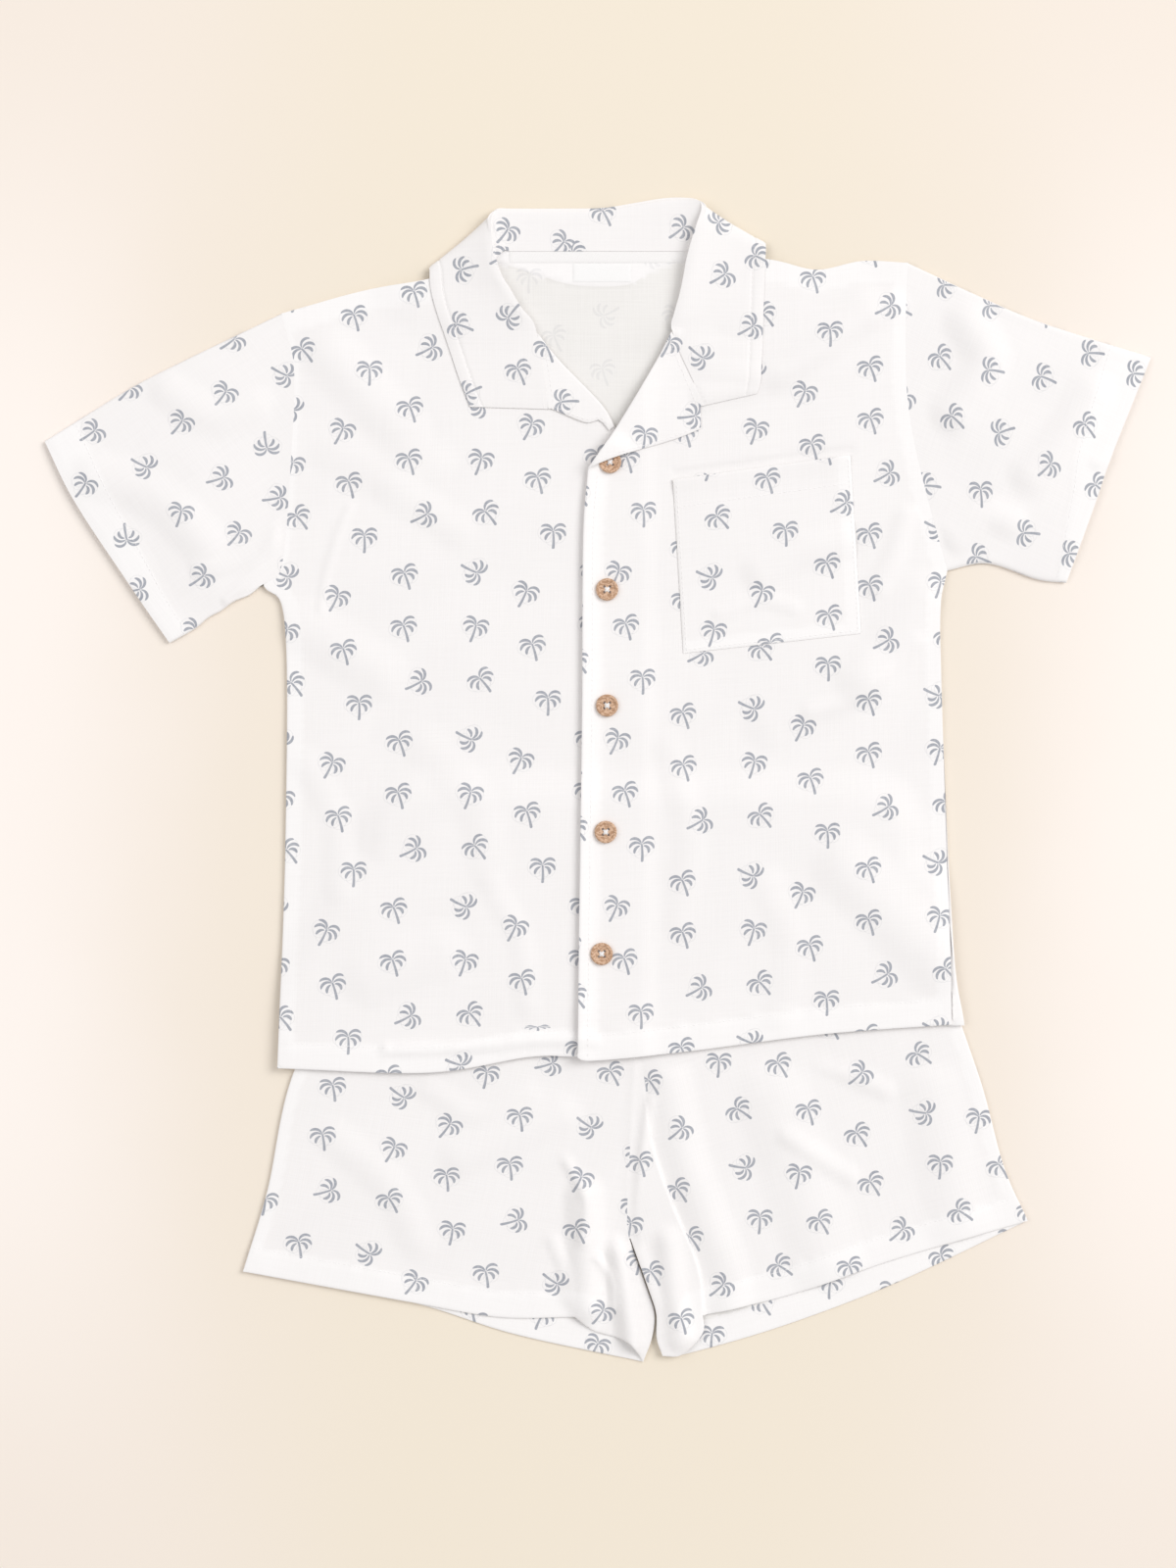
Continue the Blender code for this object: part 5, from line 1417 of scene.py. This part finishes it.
def shorts_front_low(name, x, y):
    """Both fronts meet at one height along the centre seam, which is a soft ridge."""
    from_seam, from_inseam = (near(x, y, edge(f"shorts_{seam}")) for seam in ("centre", "inseam"))
    height = creases(name, x, y) * smooth((CREASE_START_Y - y) / CREASE_START_RUN)
    height *= INSEAM_SHARE + (1 - INSEAM_SHARE) * smooth(from_inseam / CENTRE_RUN)
    if name == "shorts_front_left":
        height += strip_rise(x, y)
    ridge = CENTRE_RIDGE * bell(from_seam / CENTRE_RIDGE_HALF)
    return LAYER + height * smooth(from_seam / CENTRE_RUN) + ridge


def on_leg(panel, x, y):
    """Print on a front of the shorts, where the pleat beside the strip hides some cloth."""
    places = on_grain(panel, x, y)
    if panel == "shorts_front_left":
        on_strip = signed(x, y, curve(STRIP_FOLD, 2.0)) < STRIP_EDGE * 0.8
        places[:, 0] -= STRIP_HIDDEN * on_strip
    return places


def build_leg(side, seam):
    back, front = f"shorts_back_{side}", f"shorts_front_{side}"
    hem_back, hem_front = (edge(f"shorts_hem_{part}_{side}") for part in ("back", "front"))
    keep(back, slab(
        f"cloth_{back}", chained(back), lambda x, y: 0.0 * x, lambda x, y: 0.0 * x + CLOTH,
        [WRONG_SIDE_PAINTED_SHADE, PRINTED], lambda x, y: on_grain(back, x, y, True),
        top_slot=lambda x, y: (near(x, y, hem_back) < HEM_BAND).astype(int),
        doubled=lambda x, y: doubled_cloth(back, x, y)))

    def low(x, y):
        return shorts_front_low(front, x, y)

    def top(x, y):
        return low(x, y) + CLOTH + band(hem_front, x, y)

    stitch_line = shifted(hem_front, -HEM_STITCH)
    rows = [crease_rows(front), resampled(stitch_line, HEM_ROW_STEP)]
    if side == "left":
        rows += [shifted(curve(STRIP_FOLD, 2.0), -STRIP_EDGE * share) for share in STRIP_ROWS]
    lay(front, low, top, lambda x, y: on_leg(front, x, y), [stitch_line],
        rows=np.vstack(rows), seams=(seam,))


def build_waistband():
    """The elastic casing, gathered into small even ripples, as a flattened ring."""
    x0, x1, middle = WAIST_LEFT_X, WAIST_RIGHT_X, WAIST_HEIGHT / 2
    across = np.arange(x0, x1 + 0.1, WAIST_STEP)
    inner_x = x0 + WAIST_INSET + (across - x0) * (x1 - x0 - 2 * WAIST_INSET) / (x1 - x0)
    flat_share = 1 - rounding(np.minimum(across - x0, x1 - across) / middle)
    wave = np.sin(across * 2 * math.pi / RIPPLE_PITCH + 1.3 * np.sin(across * 0.11))
    outer, inner, places = [], [], []
    for t in np.linspace(0, 1, WAIST_ROWS + 1):
        ripple = RIPPLE * wave * math.sin(math.pi * t)
        low = middle - middle * flat_share
        top = middle + middle * flat_share - (WAIST_SINK - ripple) * flat_share
        inner_low = np.minimum(low + CLOTH, middle - WAIST_OPEN)
        inner_top = np.maximum(top - CLOTH, middle + WAIST_OPEN)
        y = np.full(len(across), WAIST_LOW_Y + (WAIST_HIGH_Y - WAIST_LOW_Y) * t)
        outer.append(once_round(*(np.column_stack([across, y, z]) for z in (low, top))))
        inner.append(once_round(*(np.column_stack([inner_x, y, z])
                                  for z in (inner_low, inner_top))))
        printed = on_grain("waistband", across, y)
        places.append(once_round(printed, printed))
    tube("waistband", outer, inner, places, 1.0)


def neck_edge(rows):
    """The front's edge along the collar's seam line, kept clear of it on the outer side."""
    seam, outer = (np.array([row[k:k + 2] for row in rows], float) for k in (0, 7))
    way = outer - seam
    return seam + way / np.hypot(*way.T)[:, None] * SEAM_CLEAR


def declare_sheets():
    for node, held, rests, layers in SHEETS:
        obj = made[node]
        obj.data.calc_loop_triangles()
        area = sum(t.area for t in obj.data.loop_triangles) / 2
        low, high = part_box(node)
        wide, long = (high.x - low.x) * layers, max(high.y - low.y, LEAST_LENGTH)
        if node == "collar":
            wide, long = COLLAR_CUT
        wide *= max(1.0, area / (wide * long))
        cut = wide * long
        max(area, LEAST_SHARE * cut) if area <= cut else None


def floor_and_light():
    bpy.ops.mesh.primitive_plane_add(size=6.0, location=(0, 0, -0.4 * MM))
    floor = bpy.context.object
    floor.name = "floor"
    material, tree, shader = new_material("floor_paper_painted_light_and_shade", 0.9)
    place = new_node(tree, "TexCoord", {}, "Object")
    # Painted shade and light: the paper is darker towards the middle, and brighter at its left and
    # right sides, fading towards the top and bottom
    cloudy = place.noise(5.0, 3.0).maths("MULTIPLY_ADD", 0.06, -0.03)
    from_middle = abs(place.part(0)) + cloudy
    paper_and_painted_shade = from_middle.ramp(0.08, 0.32).mix(FLOOR_MIDDLE_PAINTED_SHADE, FLOOR_OUTER)
    painted_light = from_middle.ramp(0.20, 0.34) * abs(place.part(1)).ramp(0.16, 0.46, 1.0, 0.0)
    tree.links.new(painted_light.mix(paper_and_painted_shade, FLOOR_PAINTED_LIGHT).socket, shader.inputs["Base Color"])
    floor.data.materials.append(material)
    world = bpy.data.worlds.new("studio")
    bpy.context.scene.world = world
    world.use_nodes = True
    background = world.node_tree.nodes["Background"]
    background.inputs["Color"].default_value = (1.0, 0.992, 0.992, 1)
    background.inputs["Strength"].default_value = 0.57
    for name, place, size, power in LIGHTS:
        light = bpy.data.lights.new(name, "AREA")
        light.size = size
        light.energy = power
        lamp = bpy.data.objects.new(name, light)
        lamp.location = place
        lamp.rotation_euler = (-Vector(place)).to_track_quat("-Z", "Y").to_euler()
        bpy.context.scene.collection.objects.link(lamp)


def place_camera():
    data = bpy.data.cameras.new("camera")
    data.sensor_fit = "VERTICAL"
    data.sensor_height = 36.0
    data.lens = CAMERA_HEIGHT / MM * data.sensor_height / PHOTO_HIGH
    data.clip_end = 20.0
    camera = bpy.data.objects.new("camera", data)
    camera.location = (PHOTO_X * MM, (PHOTO_Y + SHIFT_Y) * MM, CAMERA_HEIGHT + 4 * MM)
    bpy.context.scene.collection.objects.link(camera)
    bpy.context.scene.camera = camera
    bpy.context.scene.view_settings.view_transform = "Standard"


# Edges that follow from others: past the seams that they close, and along the collar's seam
EDGES["shorts_centre_left"] = shifted(edge("shorts_centre", 6), SEAM_LAP)
EDGES["gorge_right"] = shifted(edge("gorge_right"), GORGE_REACH)
EDGES["gorge_left"] = shifted(edge("gorge_left"), -GORGE_REACH)
middle_row = len(COLLAR) // 2
for neck, neck_rows in (("neck_right", COLLAR[FIRST_STAND_ROW:middle_row]),
                        ("neck_left", COLLAR[middle_row:LAST_STAND_ROW + 1])):
    EDGES[neck] = neck_edge([row for row in neck_rows if row[9] == 1])

place_camera()
floor_and_light()
build_back()
build_front("shirt_front_right", edge("hem_front_right"),
            ("armhole_right", "front_shoulder_right"))
build_front("shirt_front_left", edge("hem_front_left"),
            ("armhole_left", "front_shoulder_left", "seam_left"))
build_lapel("right", -LAPEL_STITCH)
build_lapel("left", LAPEL_STITCH)
build_pocket()
build_trim("neck_tape", TAPE_BOX, TAPE)
build_trim("neck_label", LABEL_BOX, LABEL)
build_collar([chained(name) for name in ("shirt_front_right", "shirt_front_left")])
for sleeve, sleeve_sides in SLEEVES.items():
    build_sleeve(sleeve, sleeve_sides)
for button, (button_x, button_y) in enumerate(BUTTONS, 1):
    build_button(button, button_x, button_y)
build_leg("right", "shorts_centre")
build_leg("left", "shorts_centre_left")
build_waistband()
declare_sheets()
